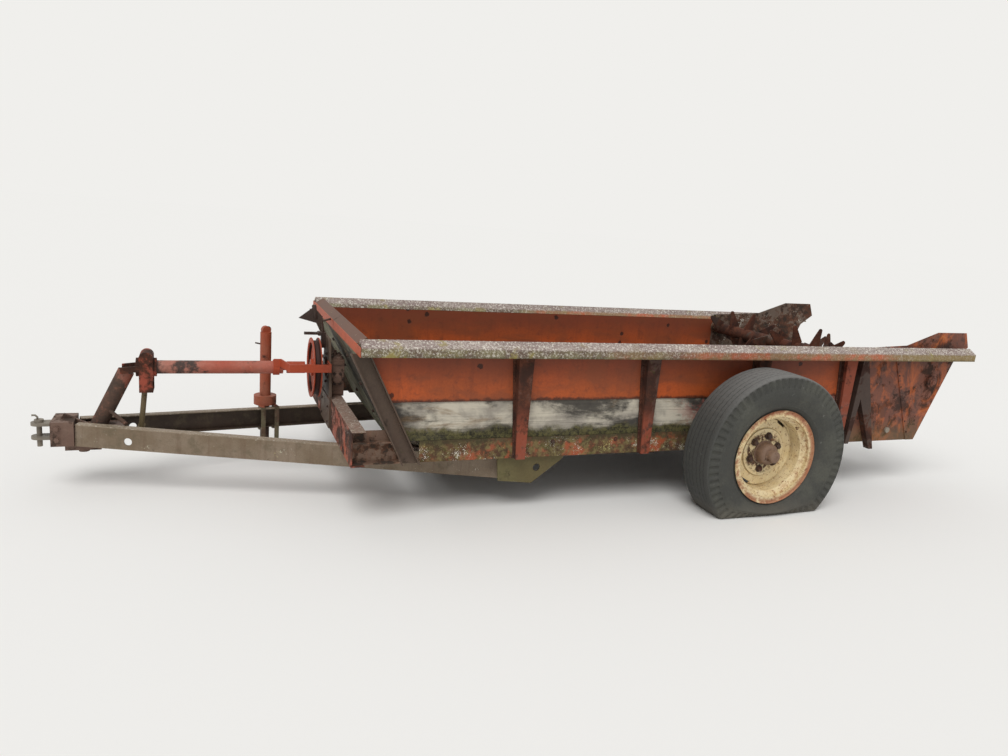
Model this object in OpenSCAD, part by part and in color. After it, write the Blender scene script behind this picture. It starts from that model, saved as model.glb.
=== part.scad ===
/* [Box] */
// Half width over the side sheets
box_half_w = 745; // [620:5:860]
// Height of the underside of the sills above the ground
sill_z = 313; // [300:1:330]
// Depth of the sill channels
sill_h = 116; // [110:1:125]
// Width of a sill flange
sill_flange = 50; // [40:1:60]
// Height of the wooden lower side boards
board_h = 207; // [160:1:240]
// Thickness of the wooden side boards
board_t = 30; // [22:1:38]
// Height of the steel upper side sheets up to the rail lip
sheet_h = 251; // [220:1:320]
// Thickness of the steel sheets
sheet_t = 5; // [3:0.5:8]
// Thickness of the floor planks
floor_t = 25; // [20:1:30]
// Number of floor planks
floor_planks = 7; // [5:1:9]
// Distance from the axle forward to the foot of the front wall
front_x = 2162; // [2000:1:2400]
// Lean of the front wall forward from upright, in degrees
front_lean = 26; // [20:0.5:30]
// Thickness of the front planks
front_t = 35; // [28:1:40]
// How far the front planks lie behind the front edge of the corner posts
plank_set = 28; // [20:1:34]
// Distance from the axle back to the joint of side boards and rear plates
side_end_x = 805; // [790:1:830]
/* [Top rails] */
// Height of the rail cap from lip to ridge
rail_h = 80; // [70:1:125]
// Height of the upright outer lip
rail_lip_h = 46; // [36:1:60]
// How far the rail lip stands out from the side
rail_out = 100; // [84:1:120]
// How far the ridge stands out from the side
rail_ridge_out = 46; // [36:1:60]
// Sheet thickness of the rail caps
rail_t = 6; // [4:0.5:8]
// Distance from the axle back to the rear end of the rails
rail_rear_x = 1800; // [1760:1:1860]
/* [Stakes] */
// Distance between side stakes
stake_pitch = 789; // [700:1:789]
// Distance from the axle forward to the front stake
stake_front_x = 1501; // [1400:1:1560]
// Number of stakes on each side
stake_count = 4; // [2:1:4]
// Width of a stake under the rail
stake_top_w = 88; // [60:1:100]
// Width of a stake at the sill
stake_foot_w = 54; // [40:1:70]
// How far a stake stands out under the rail
stake_top_d = 52; // [40:1:60]
// How far a stake stands out at the sill
stake_foot_d = 32; // [24:1:45]
// Wall of a stake
stake_t = 5; // [4:0.5:8]
// How far the top of a stake stands ahead of its foot
stake_shift = 20; // [0:1:30]
// Width of the flanges along a stake
stake_flange = 18; // [10:1:24]
/* [Front corner] */
// Width of a slanted corner post
post_w = 88; // [60:1:110]
// Depth of a corner post outward
post_d = 42; // [34:1:50]
// Steel thickness of the posts
post_t = 6; // [5:0.5:8]
/* [Drawbar] */
// Distance from the axle forward to the front face of the hitch casting
hitch_x = 3831; // [3700:1:4000]
// Depth of the drawbar channels
beam_h = 118; // [100:1:126]
// Width of the drawbar flanges
beam_flange = 45; // [35:1:60]
// Steel thickness of the drawbar
beam_t = 7; // [5:0.5:9]
// Height of the drawbar top at the hitch
beam_front_z = 368; // [350:1:376]
// Half distance between the drawbar webs at the hitch
beam_front_y = 80; // [70:1:95]
// How far the rear ends of the drawbar webs lie inside the box sides
beam_side = 41; // [30:1:60]
// Distance from the axle forward to the front face of the bolster
bolster_x = 2426; // [2380:1:2440]
// How far the front bolster stands out past the box sides
bolster_over = 55; // [50:1:80]
// Top of the front bolster
bolster_top = 503; // [495:1:508]
// Width of the bolster flanges
bolster_flange = 70; // [55:1:80]
/* [Hitch] */
// Radius of the hitch pin
pin_r = 12.7; // [10:0.1:16]
// Distance from the casting forward to the pin
pin_reach = 62; // [50:1:80]
// Width of the clevis straps
clevis_w = 76; // [60:1:90]
// Thickness of the clevis straps
clevis_t = 15; // [12:1:20]
// Clear gap between the clevis straps
clevis_gap = 58; // [45:1:66]
/* [Driveline] */
// Height of the driveline axis
drive_z = 656; // [640:1:670]
// Outer radius of the driveline shield
shield_r = 36; // [32:1:42]
// Wall of the driveline shield
shield_t = 4; // [3:0.5:6]
// Radius of the driveline shaft
drive_r = 17.5; // [16:0.5:22]
// Radius of the belt sheave
sheave_r = 172; // [150:1:185]
// Width of the belt sheave
sheave_w = 46; // [38:1:56]
/* [Wheels] */
// Height of the axle above the ground on flat tyres
axle_z = 351; // [345:1:360]
// Side of the square axle beam
axle_side = 70; // [60:1:76]
// Distance from a box side out to the wheel's centre plane
wheel_gap = 220; // [210:1:250]
// Radius of the tread
tyre_r = 500; // [485:1:515]
// Section width of the tyre
tyre_w = 259; // [240:1:270]
// Radius of the rim flange
rim_r = 285.7; // [276:0.1:290]
// Radius of the bead seat
seat_r = 254; // [248:1:258]
// Rim width between the flanges
rim_w = 178; // [160:1:190]
// Radius of the wheel spindle
spindle_r = 30; // [24:1:34]
/* [Beaters and apron] */
// Tip radius of the beaters
beater_r = 175; // [150:1:176]
// Radius of the beater tubes
beater_tube_r = 44; // [36:1:54]
// Teeth along one beater
beater_teeth = 10; // [6:1:14]
// Radius of the apron sprockets
sprocket_r = 40; // [36:1:42]
// Thickness of the apron chain
chain_t = 16; // [12:1:18]
// Width of the apron chain
chain_w = 44; // [36:1:56]
// How far the apron chains run inside the box sides
apron_set = 185; // [150:5:220]
// Number of slats on the upper run
apron_slats = 8; // [5:1:10]
// Height of a slat
slat_h = 24; // [18:1:25]
/* [Jack] */
// Distance from the axle forward to the jack
jack_x = 2735; // [2650:1:2900]
// Outer radius of the jack tube
jack_r = 33; // [30:0.5:38]
// Radius of the jack foot
jack_foot_r = 88; // [70:1:100]

/* [Hidden] */
$fn = 64;
fit = 0.05;
seat = 0.3;
big = 9000;
rust = "#7a4a35";
dark = "#4c3a33";
orange = "#b4532f";
red = "#a8402b";
grey = "#8c857a";
wood = "#8a8478";
cream = "#cbbf95";
rubber = "#35332f";
steel = "#6d6258";

floor_z = sill_z + sill_h;
board_top = floor_z + board_h;
lip_z = board_top + sheet_h;
ridge_z = lip_z + rail_h;
lean = tan(front_lean);
post_run = post_w / cos(front_lean);
front_run = front_t / cos(front_lean);
set_run = plank_set / cos(front_lean);
wheel_y = box_half_w + wheel_gap;
plate_end = 1847;
to_centre = (hitch_x + pin_reach + clevis_w / 2 - plate_end) / 2;
function front_at(z) = -front_x - (z - sill_z) * lean;
function wall_back(z) = front_at(z) + set_run + front_run;

// Pieces are drawn with the wheel axle over X = 0 and moved to put the middle of the machine there
module placed() {
    translate([to_centre, 0, 0]) children();
}

// Left pieces are drawn at negative Y, and right ones are their mirror image
module on_side(right_side) {
    mirror([0, right_side ? 1 : 0, 0]) children();
}
// A solid drawn in the X-Z plane, from y0 to y1
module upright(y0, y1) {
    translate([0, y1, 0]) rotate([90, 0, 0]) linear_extrude(y1 - y0) children();
}
module bar_x(x0, x1, r) {
    translate([x0, 0, 0]) rotate([0, 90, 0]) cylinder(h = x1 - x0, r = r);
}
module bar_y(y0, y1, r) {
    translate([0, y1, 0]) rotate([90, 0, 0]) cylinder(h = y1 - y0, r = r);
}
module block(p, q) {
    translate(p) cube(q - p);
}
// A round bar between two points
module rod(p, q, r) {
    d = q - p;
    translate(p) rotate([0, acos(d[2] / norm(d)), atan2(d[1], d[0])]) cylinder(h = norm(d), r = r);
}

// Drawbar: two channels, webs outward, spread from the hitch to the sills and fall a little to the rear
beam_fall = 0.038;
beam_start = -(hitch_x - 113);
beam_end = -1420;
beam_spread = (box_half_w - beam_side - beam_front_y) / (beam_end - beam_start);
function beam_y(x) = beam_front_y + (x - beam_start) * beam_spread;
function beam_top(x) = beam_front_z - (x - beam_start) * beam_fall;
beam_yaw = atan(beam_spread);
beam_dip = atan(beam_fall * cos(beam_yaw));
beam_len = (beam_end - beam_start) / cos(beam_yaw) / cos(beam_dip);
chain_hole_r = 20;
chain_hole_x = 260;
chain_hole_z = 45;
module drawbar() {
    color(rust) translate([beam_start, -beam_front_y, beam_front_z]) rotate([0, 0, -beam_yaw])
        rotate([0, beam_dip, 0]) translate([0, 0, -beam_h]) difference() {
            cube([beam_len, beam_flange, beam_h]);
            translate([-1, beam_t, beam_t]) cube([beam_len + 2, beam_flange, beam_h - 2 * beam_t]);
            translate([chain_hole_x, beam_t + 1, chain_hole_z]) rotate([90, 0, 0])
                cylinder(h = beam_t + 2, r = chain_hole_r);
        }
}

// Gusset under each sill at the end of a drawbar channel, with its round hole
gusset_t = 8;
gusset_hole_r = 22;
gusset_pts = [[-190, sill_z - seat], [-176, 172], [26, 149], [205, 283], [220, sill_z - seat]];
gusset_y = beam_y(beam_end) + seat;
module gusset() {
    color(grey) difference() {
        upright(-gusset_y - gusset_t, -gusset_y) translate([beam_end, 0]) polygon(gusset_pts);
        translate([beam_end + 51, 0, 239]) bar_y(-gusset_y - gusset_t - 1, -gusset_y + 1, gusset_hole_r);
    }
}

// Hitch: a casting between the channels, two clevis straps and the pin
casting_z0 = 258;
casting_z1 = 383;
bed_z = casting_z1 - 38;
casting_w = 2 * (beam_front_y - beam_t - seat);
pin_x = -hitch_x - pin_reach;
clevis_z = 319.5;
pin_z = [233, 270, 374];
strap_z = [clevis_z - clevis_gap / 2 - clevis_t, clevis_z + clevis_gap / 2];
module hitch_casting() {
    color(rust) difference() {
        union() {
            block([-hitch_x + 40, -casting_w / 2, casting_z0], [-hitch_x + 330, casting_w / 2, bed_z]);
            block([-hitch_x, -beam_front_y - 12, casting_z0 - 4], [beam_start - 6, beam_front_y + 12, casting_z1]);
            block([-hitch_x + 60, -62, 222], [-hitch_x + 228, 62, 245]);
            block([-hitch_x + 60, -34, 244], [-hitch_x + 228, 34, casting_z0 + 1]);
            translate([-hitch_x + 140, 0, 200]) cylinder(h = 40, r = 26);
            upright(-11, 11) polygon([[-hitch_x + 40, casting_z1 - 1], [-hitch_x + 52, casting_z1 + 24],
                [-hitch_x + 160, bed_z + 8], [-hitch_x + 160, bed_z - 1]]);
        }
        for (z = strap_z)
            block([-hitch_x - 1, -clevis_w / 2 - seat, z - seat], [-hitch_x + 90, clevis_w / 2 + seat, z + clevis_t + seat]);
    }
}
module hitch_clevis() {
    color(grey) for (z = strap_z) translate([0, 0, z]) difference() {
        union() {
            block([pin_x, -clevis_w / 2, 0], [-hitch_x + 88, clevis_w / 2, clevis_t]);
            translate([pin_x, 0, 0]) cylinder(h = clevis_t, r = clevis_w / 2);
        }
        translate([pin_x, 0, -1]) cylinder(h = clevis_t + 2, r = pin_r + fit);
    }
}
module hitch_pin() {
    color(steel) {
        translate([pin_x, 0, pin_z[0]]) cylinder(h = pin_z[1] - pin_z[0], r = pin_r);
        translate([pin_x, 0, pin_z[1] - 1]) cylinder(h = 5, r = pin_r - 0.8);
        translate([pin_x, 0, pin_z[1] + 3]) cylinder(h = pin_z[2] - pin_z[1] - 3, r = pin_r);
        translate([pin_x, 0, strap_z[1] + clevis_t + seat]) cylinder(h = 14, r = 22);
    }
}

// Shield post: a slanted tube from the hitch to the driveline head, with its brace
post_foot = [-3618, 0, bed_z];
post_head = [-3482, 0, 634];
post_r = 41;
post_wall = 5;
module shield_post() {
    d = post_head - post_foot;
    tilt = atan2(d[0], d[2]);
    color(rust) {
        difference() {
            translate(post_foot) rotate([0, tilt, 0]) difference() {
                translate([0, 0, -60]) cylinder(h = norm(d) + 60, r = post_r);
                translate([0, 0, 30]) cylinder(h = norm(d), r = post_r - post_wall);
            }
            block([-4000, -200, 0], [-3300, 200, bed_z + seat]);
        }
        rod([-3560, -30, 425], [-3480, -100, beam_top(-3480) + 11], 10);
    }
}

// Bracket that carries the front end of the driveline shield, with the rod that stays it to the drawbar
bracket_x = -3384;
module shield_bracket() {
    color(red) difference() {
        union() {
            block([bracket_x - 34, -58, 528], [bracket_x + 34, -50, 720]);
            block([bracket_x - 34, 50, 528], [bracket_x + 34, 58, 720]);
            block([bracket_x - 34, -58, 528], [bracket_x + 34, 58, 536]);
            translate([bracket_x, 0, 712]) bar_y(-64, 64, 34);
            translate([bracket_x - 50, 0, drive_z]) bar_x(0, 100, 50);
        }
        translate([bracket_x - 51, 0, drive_z]) bar_x(0, 102, shield_r + fit);
        block([bracket_x - 35, -50, 536], [bracket_x + 35, 50, drive_z - 60]);
    }
    color(red) for (right_side = [false, true]) on_side(right_side)
        upright(-58, -post_r - seat) polygon([[bracket_x - 33, 640], [bracket_x - 33, 672],
            [post_head[0] - 24, 662], [post_head[0] - 24, 630]]);
}
module bracket_rod() {
    color("#5c5138") translate([bracket_x - 18, 0, 0]) difference() {
        union() {
            rod([-14, 0, 312], [8, 0, 536], 14);
            block([-34, -90, 306], [2, 90, 318]);
        }
        block([-60, -60, 528 - seat], [60, 60, 560]);
    }
}
shield_x = [-3430, -2681];
module driveline_shield() {
    color(red) translate([0, 0, drive_z]) difference() {
        bar_x(shield_x[0], shield_x[1], shield_r);
        bar_x(shield_x[0] - 1, shield_x[1] + 1, shield_r - shield_t);
    }
}

// Driveline: the turning shaft with its sheave
sheave_x = -2505;
stub_x = -3440;
gearbox_x0 = -bolster_x;
gearbox_x1 = gearbox_x0 + 80;
coupling_r = 34;
coupling_x = [-2660, -2560];
module driveline_shaft() {
    color(steel) {
        translate([stub_x, 0, drive_z]) bar_x(0, gearbox_x0 - stub_x + 40, drive_r);
        translate([0, 0, drive_z]) bar_x(coupling_x[0], coupling_x[1], coupling_r);
    }
    color(orange) translate([sheave_x - sheave_w / 2, 0, drive_z]) rotate([90, 0, 90]) difference() {
        rotate_extrude() polygon([[drive_r - 1, 0], [48, 0], [48, 18], [sheave_r - 26, 18], [sheave_r - 26, 0],
            [sheave_r, 0], [sheave_r, 6], [sheave_r - 16, 14], [sheave_r - 16, sheave_w - 14], [sheave_r, sheave_w - 6],
            [sheave_r, sheave_w], [sheave_r - 26, sheave_w], [sheave_r - 26, 28], [48, 28], [48, sheave_w],
            [drive_r - 1, sheave_w]]);
    }
}
gearbox_half = 75;
gearbox_h = 214;
stand_t = 12;
stand_x1 = -bolster_x - seat;
stand_pts = [[-150, 330], [150, 330], [160, 520], [95, 835], [-70, 835], [-160, 520]];
module gearbox() {
    color(dark) difference() {
        block([gearbox_x0, -gearbox_half, bolster_top + seat], [gearbox_x1, gearbox_half, bolster_top + gearbox_h]);
        translate([gearbox_x0 - 1, 0, drive_z]) bar_x(0, 61, drive_r + fit);
    }
}
// Flat bar that passes the sheave from the end of the shield to the gearbox stand
guard_t = 8;
guard_y = 190;
guard_z = [drive_z + 12, drive_z + 56];
guard_x = [shield_x[1] - 54, shield_x[1] - 12, shield_x[1] + 24, stand_x1 - stand_t - seat];
module belt_guard() {
    y0 = shield_r + seat;
    color(orange) translate([0, 0, guard_z[0]]) linear_extrude(guard_z[1] - guard_z[0]) polygon([
        [guard_x[0], -y0], [guard_x[0], -y0 - guard_t], [guard_x[1] - 6, -y0 - guard_t],
        [guard_x[2] - 6, -guard_y - guard_t], [guard_x[3], -guard_y - guard_t], [guard_x[3], -80],
        [guard_x[3] - guard_t, -80], [guard_x[3] - guard_t, -guard_y], [guard_x[2], -guard_y], [guard_x[1], -y0]]);
    color(orange) translate([0, 0, drive_z]) difference() {
        bar_x(guard_x[0], guard_x[1] - 8, shield_r + guard_t);
        bar_x(guard_x[0] - 1, guard_x[1], shield_r + seat);
    }
}
module gearbox_stand() {
    color(grey) difference() {
        upright_x(stand_x1 - stand_t, stand_x1) polygon(stand_pts);
        translate([stand_x1 - stand_t - 1, 0, drive_z]) bar_x(0, stand_t + 2, 60);
    }
}

// Front bolster: a channel across the drawbar, flanges to the rear, and a bracket at each end to the corner post
bolster_t = 7;
bolster_z0 = beam_top(-bolster_x);
bolster_half = box_half_w + bolster_over;
module front_bolster() {
    color(orange) difference() {
        block([-bolster_x, -bolster_half, bolster_z0 + seat], [-bolster_x + bolster_flange, bolster_half, bolster_top]);
        block([-bolster_x + bolster_t, -bolster_half - 1, bolster_z0 + bolster_t],
            [-bolster_x + bolster_flange + 1, bolster_half + 1, bolster_top - bolster_t]);
    }
}
bracket_t = 7;
bracket_z = [bolster_z0 + bolster_t + 2 * seat, 436, bolster_top - bolster_t - 2 * seat];
module corner_brackets() {
    x0 = -bolster_x + bolster_t + seat;
    color(rust) for (right_side = [false, true]) on_side(right_side) {
        upright(-box_half_w - bracket_t - 2, -box_half_w - 2) bracket_side(x0, bracket_z[0], bracket_z[2]);
        for (z = [bracket_z[0], bracket_z[1]])
            upright(-box_half_w - post_d, -box_half_w - bracket_t - 1) bracket_side(x0, z, z + bracket_t);
    }
}
module bracket_side(x0, z0, z1) {
    polygon([[x0, z0], [front_at(z0) - seat, z0], [front_at(z1) - seat, z1], [x0, z1]]);
}

// Frame under the box: two sills, cross members and the axle with its spindles
sill_t = 6;
sill_x0 = front_at(sill_z) + post_run;
sill_x1 = side_end_x - seat;
module sill() {
    color(orange) difference() {
        block([sill_x0, -box_half_w, sill_z], [sill_x1, -box_half_w + sill_flange, floor_z]);
        block([sill_x0 - 1, -box_half_w + sill_t, sill_z + sill_t],
            [sill_x1 + 1, -box_half_w + sill_flange + 1, floor_z - sill_t]);
        block([-axle_side / 2 - seat, -box_half_w - 1, axle_z - axle_side / 2 - 60],
            [axle_side / 2 + seat, -box_half_w + sill_flange + 1, axle_z + axle_side / 2 + seat]);
    }
}
cross_z0 = 350;
cross_z1 = floor_z - floor_t - seat;
cross_w = 50;
cross_t = 6;
cross_x = [-1820, -1420, -950, -500, -130, 350, 720, 1060];
function cross_half(x) = x > side_end_x ? plate_in - seat : box_half_w - sill_t - seat;
module cross_members() {
    color(rust) for (x = cross_x) difference() {
        block([x, -cross_half(x), cross_z0], [x + cross_w, cross_half(x), cross_z1]);
        block([x + cross_t, -box_half_w, cross_z0 + cross_t], [x + cross_w + 1, box_half_w, cross_z1 - cross_t]);
    }
}
floor_x0 = sill_x0 + 82;
floor_x1 = 1160;
plank_gap = 4;
plank_w = (2 * (box_half_w - sill_flange) - plank_gap * (floor_planks - 1)) / floor_planks;
module floor_boards() {
    color(wood) for (i = [0:floor_planks - 1]) {
        y = -box_half_w + sill_flange + i * (plank_w + plank_gap);
        block([floor_x0, y, floor_z - floor_t], [floor_x1, y + plank_w, floor_z]);
    }
}
spindle_end = wheel_y + 60;
axle_half = wheel_y - 105;
module axle() {
    color(dark) {
        difference() {
            block([-axle_side / 2, -axle_half, axle_z - axle_side / 2], [axle_side / 2, axle_half, axle_z + axle_side / 2]);
            block([-axle_side / 2 + 8, -axle_half + 40, axle_z - axle_side / 2 + 8],
                [axle_side / 2 - 8, axle_half - 40, axle_z + axle_side / 2 - 8]);
        }
        for (right_side = [false, true]) on_side(right_side)
            translate([0, 0, axle_z]) bar_y(-spindle_end, -axle_half + 1, spindle_r);
    }
}

// Apron: one loop of two chains with slats, over sprockets at the front and the rear
shaft_z = floor_z + seat - sprocket_r;
apron_half_w = box_half_w - apron_set;
apron_front_x = sill_x0 + 32;
apron_rear_x = 1221;
apron_run_z = axle_z - axle_side / 2 - seat;
slat_w = 44;
slat_half = box_half_w - sill_flange - 9;
loop_r = sprocket_r + seat;
module apron_loop(grow) {
    polygon(concat(
        [for (a = [90:10:270]) [apron_front_x + (loop_r + grow) * cos(a), shaft_z + (loop_r + grow) * sin(a)]],
        [[-axle_side, apron_run_z - grow], [axle_side, apron_run_z - grow]],
        [for (a = [-90:10:90]) [apron_rear_x + (loop_r + grow) * cos(a), shaft_z + (loop_r + grow) * sin(a)]]));
}
upper_pitch = (apron_rear_x - apron_front_x) / apron_slats;
lower_z = shaft_z - loop_r;
function run_at(x) = lower_z + (apron_run_z - lower_z) * (x < -axle_side
    ? (x - apron_front_x) / (-axle_side - apron_front_x)
    : x > axle_side ? (apron_rear_x - x) / (apron_rear_x - axle_side) : 1);
module apron_chain() {
    color(dark) {
        for (s = [-1, 1]) upright(s * apron_half_w - chain_w / 2, s * apron_half_w + chain_w / 2) difference() {
            apron_loop(chain_t);
            apron_loop(0);
        }
        for (i = [0:apron_slats - 1]) {
            x = apron_front_x + (i + 0.5) * upper_pitch - slat_w / 2;
            block([x, -slat_half, floor_z + seat + chain_t - 1], [x + slat_w, slat_half, floor_z + seat + chain_t + slat_h]);
            z = run_at(x + slat_w / 2) - chain_t;
            block([x, -slat_half, z - slat_h], [x + slat_w, slat_half, z + 2]);
        }
    }
}
module apron_shaft(x, end) {
    color(steel) {
        translate([x, 0, shaft_z]) {
            bar_y(-end, end, 19);
            for (s = [-1, 1]) bar_y(s * apron_half_w - chain_w / 2 + 4, s * apron_half_w + chain_w / 2 - 4, sprocket_r);
        }
    }
}

// Box sides: steel sheet above, wooden board below, both cut to the slant of the front wall
module side_sheet() {
    color(orange) upright(-box_half_w, -box_half_w + sheet_t)
        polygon([[wall_back(board_top) + seat, board_top + seat], [side_end_x - seat, board_top + seat],
            [side_end_x - seat, lip_z + 20], [wall_back(lip_z + 20) + seat, lip_z + 20]]);
}
module side_board() {
    color(wood) upright(-box_half_w + 6, -box_half_w + 6 + board_t)
        polygon([[wall_back(floor_z) + seat, floor_z + seat], [side_end_x - seat, floor_z + seat],
            [side_end_x - seat, board_top], [wall_back(board_top) + seat, board_top]]);
}
rail_x0 = front_at(lip_z) + set_run + rail_t + 1 + seat;
module rail_section() {
    polygon([[-rail_out, lip_z], [-rail_out + rail_t, lip_z], [-rail_out + rail_t, lip_z + rail_lip_h - 3],
        [-rail_ridge_out, ridge_z - rail_t - 2], [-sheet_t - 2, lip_z + 22], [3, lip_z + 22],
        [-rail_ridge_out, ridge_z], [-rail_out, lip_z + rail_lip_h]]);
}
module top_rail() {
    color(grey) translate([rail_x0, -box_half_w, 0]) rotate([90, 0, 90])
        linear_extrude(rail_rear_x - rail_x0) rail_section();
}
stake_top_z = lip_z + 15;
stake_foot_flange = 8;
module stake_outline(grow, top, foot) {
    foot_grow = min(grow, stake_foot_flange);
    polygon([[-stake_foot_w / 2 - foot_grow, foot], [stake_foot_w / 2 + foot_grow, foot],
        [stake_top_w / 2 + grow - stake_shift, top], [-stake_top_w / 2 - grow - stake_shift, top]]);
}
module stakes() {
    wide = stake_top_w + 2 * stake_shift;
    color(dark) for (i = [0:stake_count - 1]) {
        x = i == stake_count - 1 && stake_count == 4 ? side_end_x - stake_top_w / 2 + 10 : -stake_front_x + i * stake_pitch;
        translate([x, -box_half_w, 0]) {
            difference() {
                intersection() {
                    upright_x(-wide, wide) polygon([[-seat, sill_z], [-seat, stake_top_z],
                        [-stake_top_d, stake_top_z], [-stake_foot_d, sill_z]]);
                    upright(-stake_top_d - 1, 1) stake_outline(0, stake_top_z + 1, sill_z - 1);
                }
                intersection() {
                    upright_x(-wide, wide) polygon([[2, sill_z - 2], [2, stake_top_z + 2],
                        [-stake_top_d + stake_t, stake_top_z + 2], [-stake_foot_d + stake_t, sill_z - 2]]);
                    upright(-stake_top_d - 1, 3) stake_outline(-stake_t, stake_top_z + 2, sill_z - 2);
                }
            }
            upright(-stake_t - seat, -seat) difference() {
                stake_outline(stake_flange, stake_top_z, sill_z);
                stake_outline(-stake_t, stake_top_z + 2, sill_z - 2);
            }
        }
    }
}
// A solid drawn in the Y-Z plane, from x0 to x1
module upright_x(x0, x1) {
    translate([x0, 0, 0]) rotate([90, 0, 90]) linear_extrude(x1 - x0) children();
}

// Front wall of slanted planks, corner posts and the capped front rail
wall_z0 = sill_z + 20;
wall_planks = 4;
module front_wall() {
    h = lip_z - seat - wall_z0;
    color(wood) for (i = [0:wall_planks - 1]) {
        z0 = wall_z0 + i * h / wall_planks + (i > 0 ? seat : 0);
        z1 = wall_z0 + (i + 1) * h / wall_planks;
        upright(-box_half_w, box_half_w) polygon([[front_at(z0) + set_run, z0], [wall_back(z0), z0],
            [wall_back(z1), z1], [front_at(z1) + set_run, z1]]);
    }
}
module front_posts() {
    color(rust) for (right_side = [false, true]) on_side(right_side) difference() {
        upright(-box_half_w - post_d, -box_half_w - seat) polygon([[front_at(sill_z), sill_z],
            [front_at(sill_z) + post_run, sill_z], [front_at(lip_z - seat) + post_run, lip_z - seat],
            [front_at(lip_z - seat), lip_z - seat]]);
        upright(-box_half_w - post_d - 1, -box_half_w - post_t - seat) polygon([[front_at(sill_z - 9) + 8, sill_z - 9],
            [front_at(sill_z - 9) + post_run - 8, sill_z - 9], [front_at(lip_z + 9) + post_run - 8, lip_z + 9],
            [front_at(lip_z + 9) + 8, lip_z + 9]]);
    }
}
strip_h = 48;
strip_x = rail_x0 - seat;
module front_rail() {
    ridge_x = strip_x + 44;
    color(orange) {
        block([strip_x - rail_t, -box_half_w - rail_out, lip_z], [strip_x, box_half_w + rail_out, lip_z + strip_h]);
        upright(-box_half_w + 3 + seat, box_half_w - 3 - seat) polygon([
            [strip_x - rail_t, lip_z + strip_h - 1], [strip_x - 1, lip_z + strip_h - 8], [ridge_x, ridge_z - 9],
            [strip_x + 96, lip_z + 22], [strip_x + 104, lip_z + 22], [ridge_x, ridge_z]]);
    }
}

// Control levers: a hand lever with its quadrant and two links, on a pivot block at the gearbox stand
lever_y = [60, 85];
lever_z = 843;
module control_levers() {
    x1 = stand_x1 - stand_t - seat;
    mid = (lever_y[0] + lever_y[1]) / 2;
    color(dark) {
        block([x1 - 120, lever_y[0], lever_z - 7], [x1, lever_y[1], lever_z + 7]);
        block([x1 - 24, lever_y[0] - 5, lever_z - 83], [x1, lever_y[1] + 5, lever_z + 7]);
        rod([x1 - 12, mid, lever_z], [x1 - 26, mid, lever_z + 102], 7);
        upright(mid - 3, mid + 3) polygon([[x1 - 20, lever_z + 52], [x1 - 154, lever_z + 88],
            [x1 - 68, lever_z + 156], [x1 - 20, lever_z + 100]]);
        difference() {
            rod([x1 - 24, mid, lever_z + 72], [x1 + 60, mid, lever_z + 96], 6);
            block([strip_x - rail_t - seat, 0, lip_z - 20], [strip_x + 99, 200, ridge_z + 99]);
        }
    }
}

// Rear side plates with the bearings of the beaters, and braces outside them
plate_t = 6;
plate_out = box_half_w - 3 - seat;
plate_in = plate_out - plate_t;
main_x = 1180;
main_z = 660;
upper_x = 838;
upper_z = 845;
rotor_x = 1537;
rotor_z = 725;
shaft_r = 22;
plate_pts = [[side_end_x, sill_z], [side_end_x, lip_z + 60], [1268, lip_z + 86], [1537, 1065],
    [1806, 1067], [plate_end, 967], [1735, 887], [1487, sill_z]];
lap_pts = [[1183, lip_z - seat], [1735, lip_z - seat], [1487, sill_z], [1414, sill_z]];
boss_l = 26;
module rear_plate() {
    color(rust) difference() {
        union() {
            upright(-plate_out, -plate_in) polygon(plate_pts);
            upright(-plate_out - 5, -plate_out + 0.5) polygon(lap_pts);
            for (c = [[main_x, main_z], [upper_x, upper_z], [rotor_x, rotor_z]])
                translate([c[0], 0, c[1]]) bar_y(-plate_in - 1, -plate_in + boss_l, 46);
            translate([rotor_x, 0, rotor_z]) bar_y(-plate_out - 22, -plate_out + 1, 45);
        }
        translate([apron_rear_x, 0, shaft_z]) bar_y(-plate_out - 10, -plate_in + 1, 19 + fit);
        for (c = [[main_x, main_z], [upper_x, upper_z]])
            translate([c[0], 0, c[1]]) bar_y(-plate_in - 1, -plate_in + 100, shaft_r + fit);
        translate([rotor_x, 0, rotor_z]) bar_y(-plate_out - 23, -plate_in + 100, shaft_r + fit);
    }
}
module rear_braces() {
    color(rust) for (right_side = [false, true]) on_side(right_side)
        upright(-box_half_w - 40, -plate_out - seat) difference() {
            translate([side_end_x, 0]) polygon([[53, lip_z - seat], [95, lip_z - seat], [270, sill_z - 40],
                [235, sill_z - 40], [83, 620], [45, sill_z + 4], [15, sill_z + 4]]);
            translate([side_end_x, 0]) polygon([[75, 560], [65, 480], [75, 400], [155, 400]]);
        }
}
case_w = 64;
case_pts = [[side_end_x + 15, 500], [side_end_x + 15, 880], [side_end_x + 55, 884], [rotor_x + 103, 800],
    [rotor_x + 103, 660], [main_x + 80, 340], [main_x - 20, 340]];
module drive_case() {
    color(orange) upright(case_y, case_y + case_w) polygon(case_pts);
}

// Side drive on the right: cross tube from the gearbox, corner gear case and the shaft along the box to the drive case
line_r = 12;
line_y = box_half_w + 42 + line_r;
line_z = 560;
case_y = box_half_w + 41;
corner_x = [-bolster_x + 4, -bolster_x + bolster_flange - 4];
module side_drive() {
    color(steel) {
        translate([0, line_y, line_z]) bar_x(corner_x[1] - 2, case_pts[0][0] - seat, line_r);
        translate([(corner_x[0] + corner_x[1]) / 2, 0, line_z]) bar_y(gearbox_half + seat, box_half_w, 22);
    }
    color(dark) {
        block([corner_x[0], box_half_w - 8, bolster_top + seat], [corner_x[1], line_y + 48, line_z + 60]);
        for (i = [0, 1]) block([-stake_front_x + i * stake_pitch - 20, box_half_w + 41.5, line_z - 24],
            [-stake_front_x + i * stake_pitch + 20, line_y + 4, line_z + 24]);
    }
}

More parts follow.
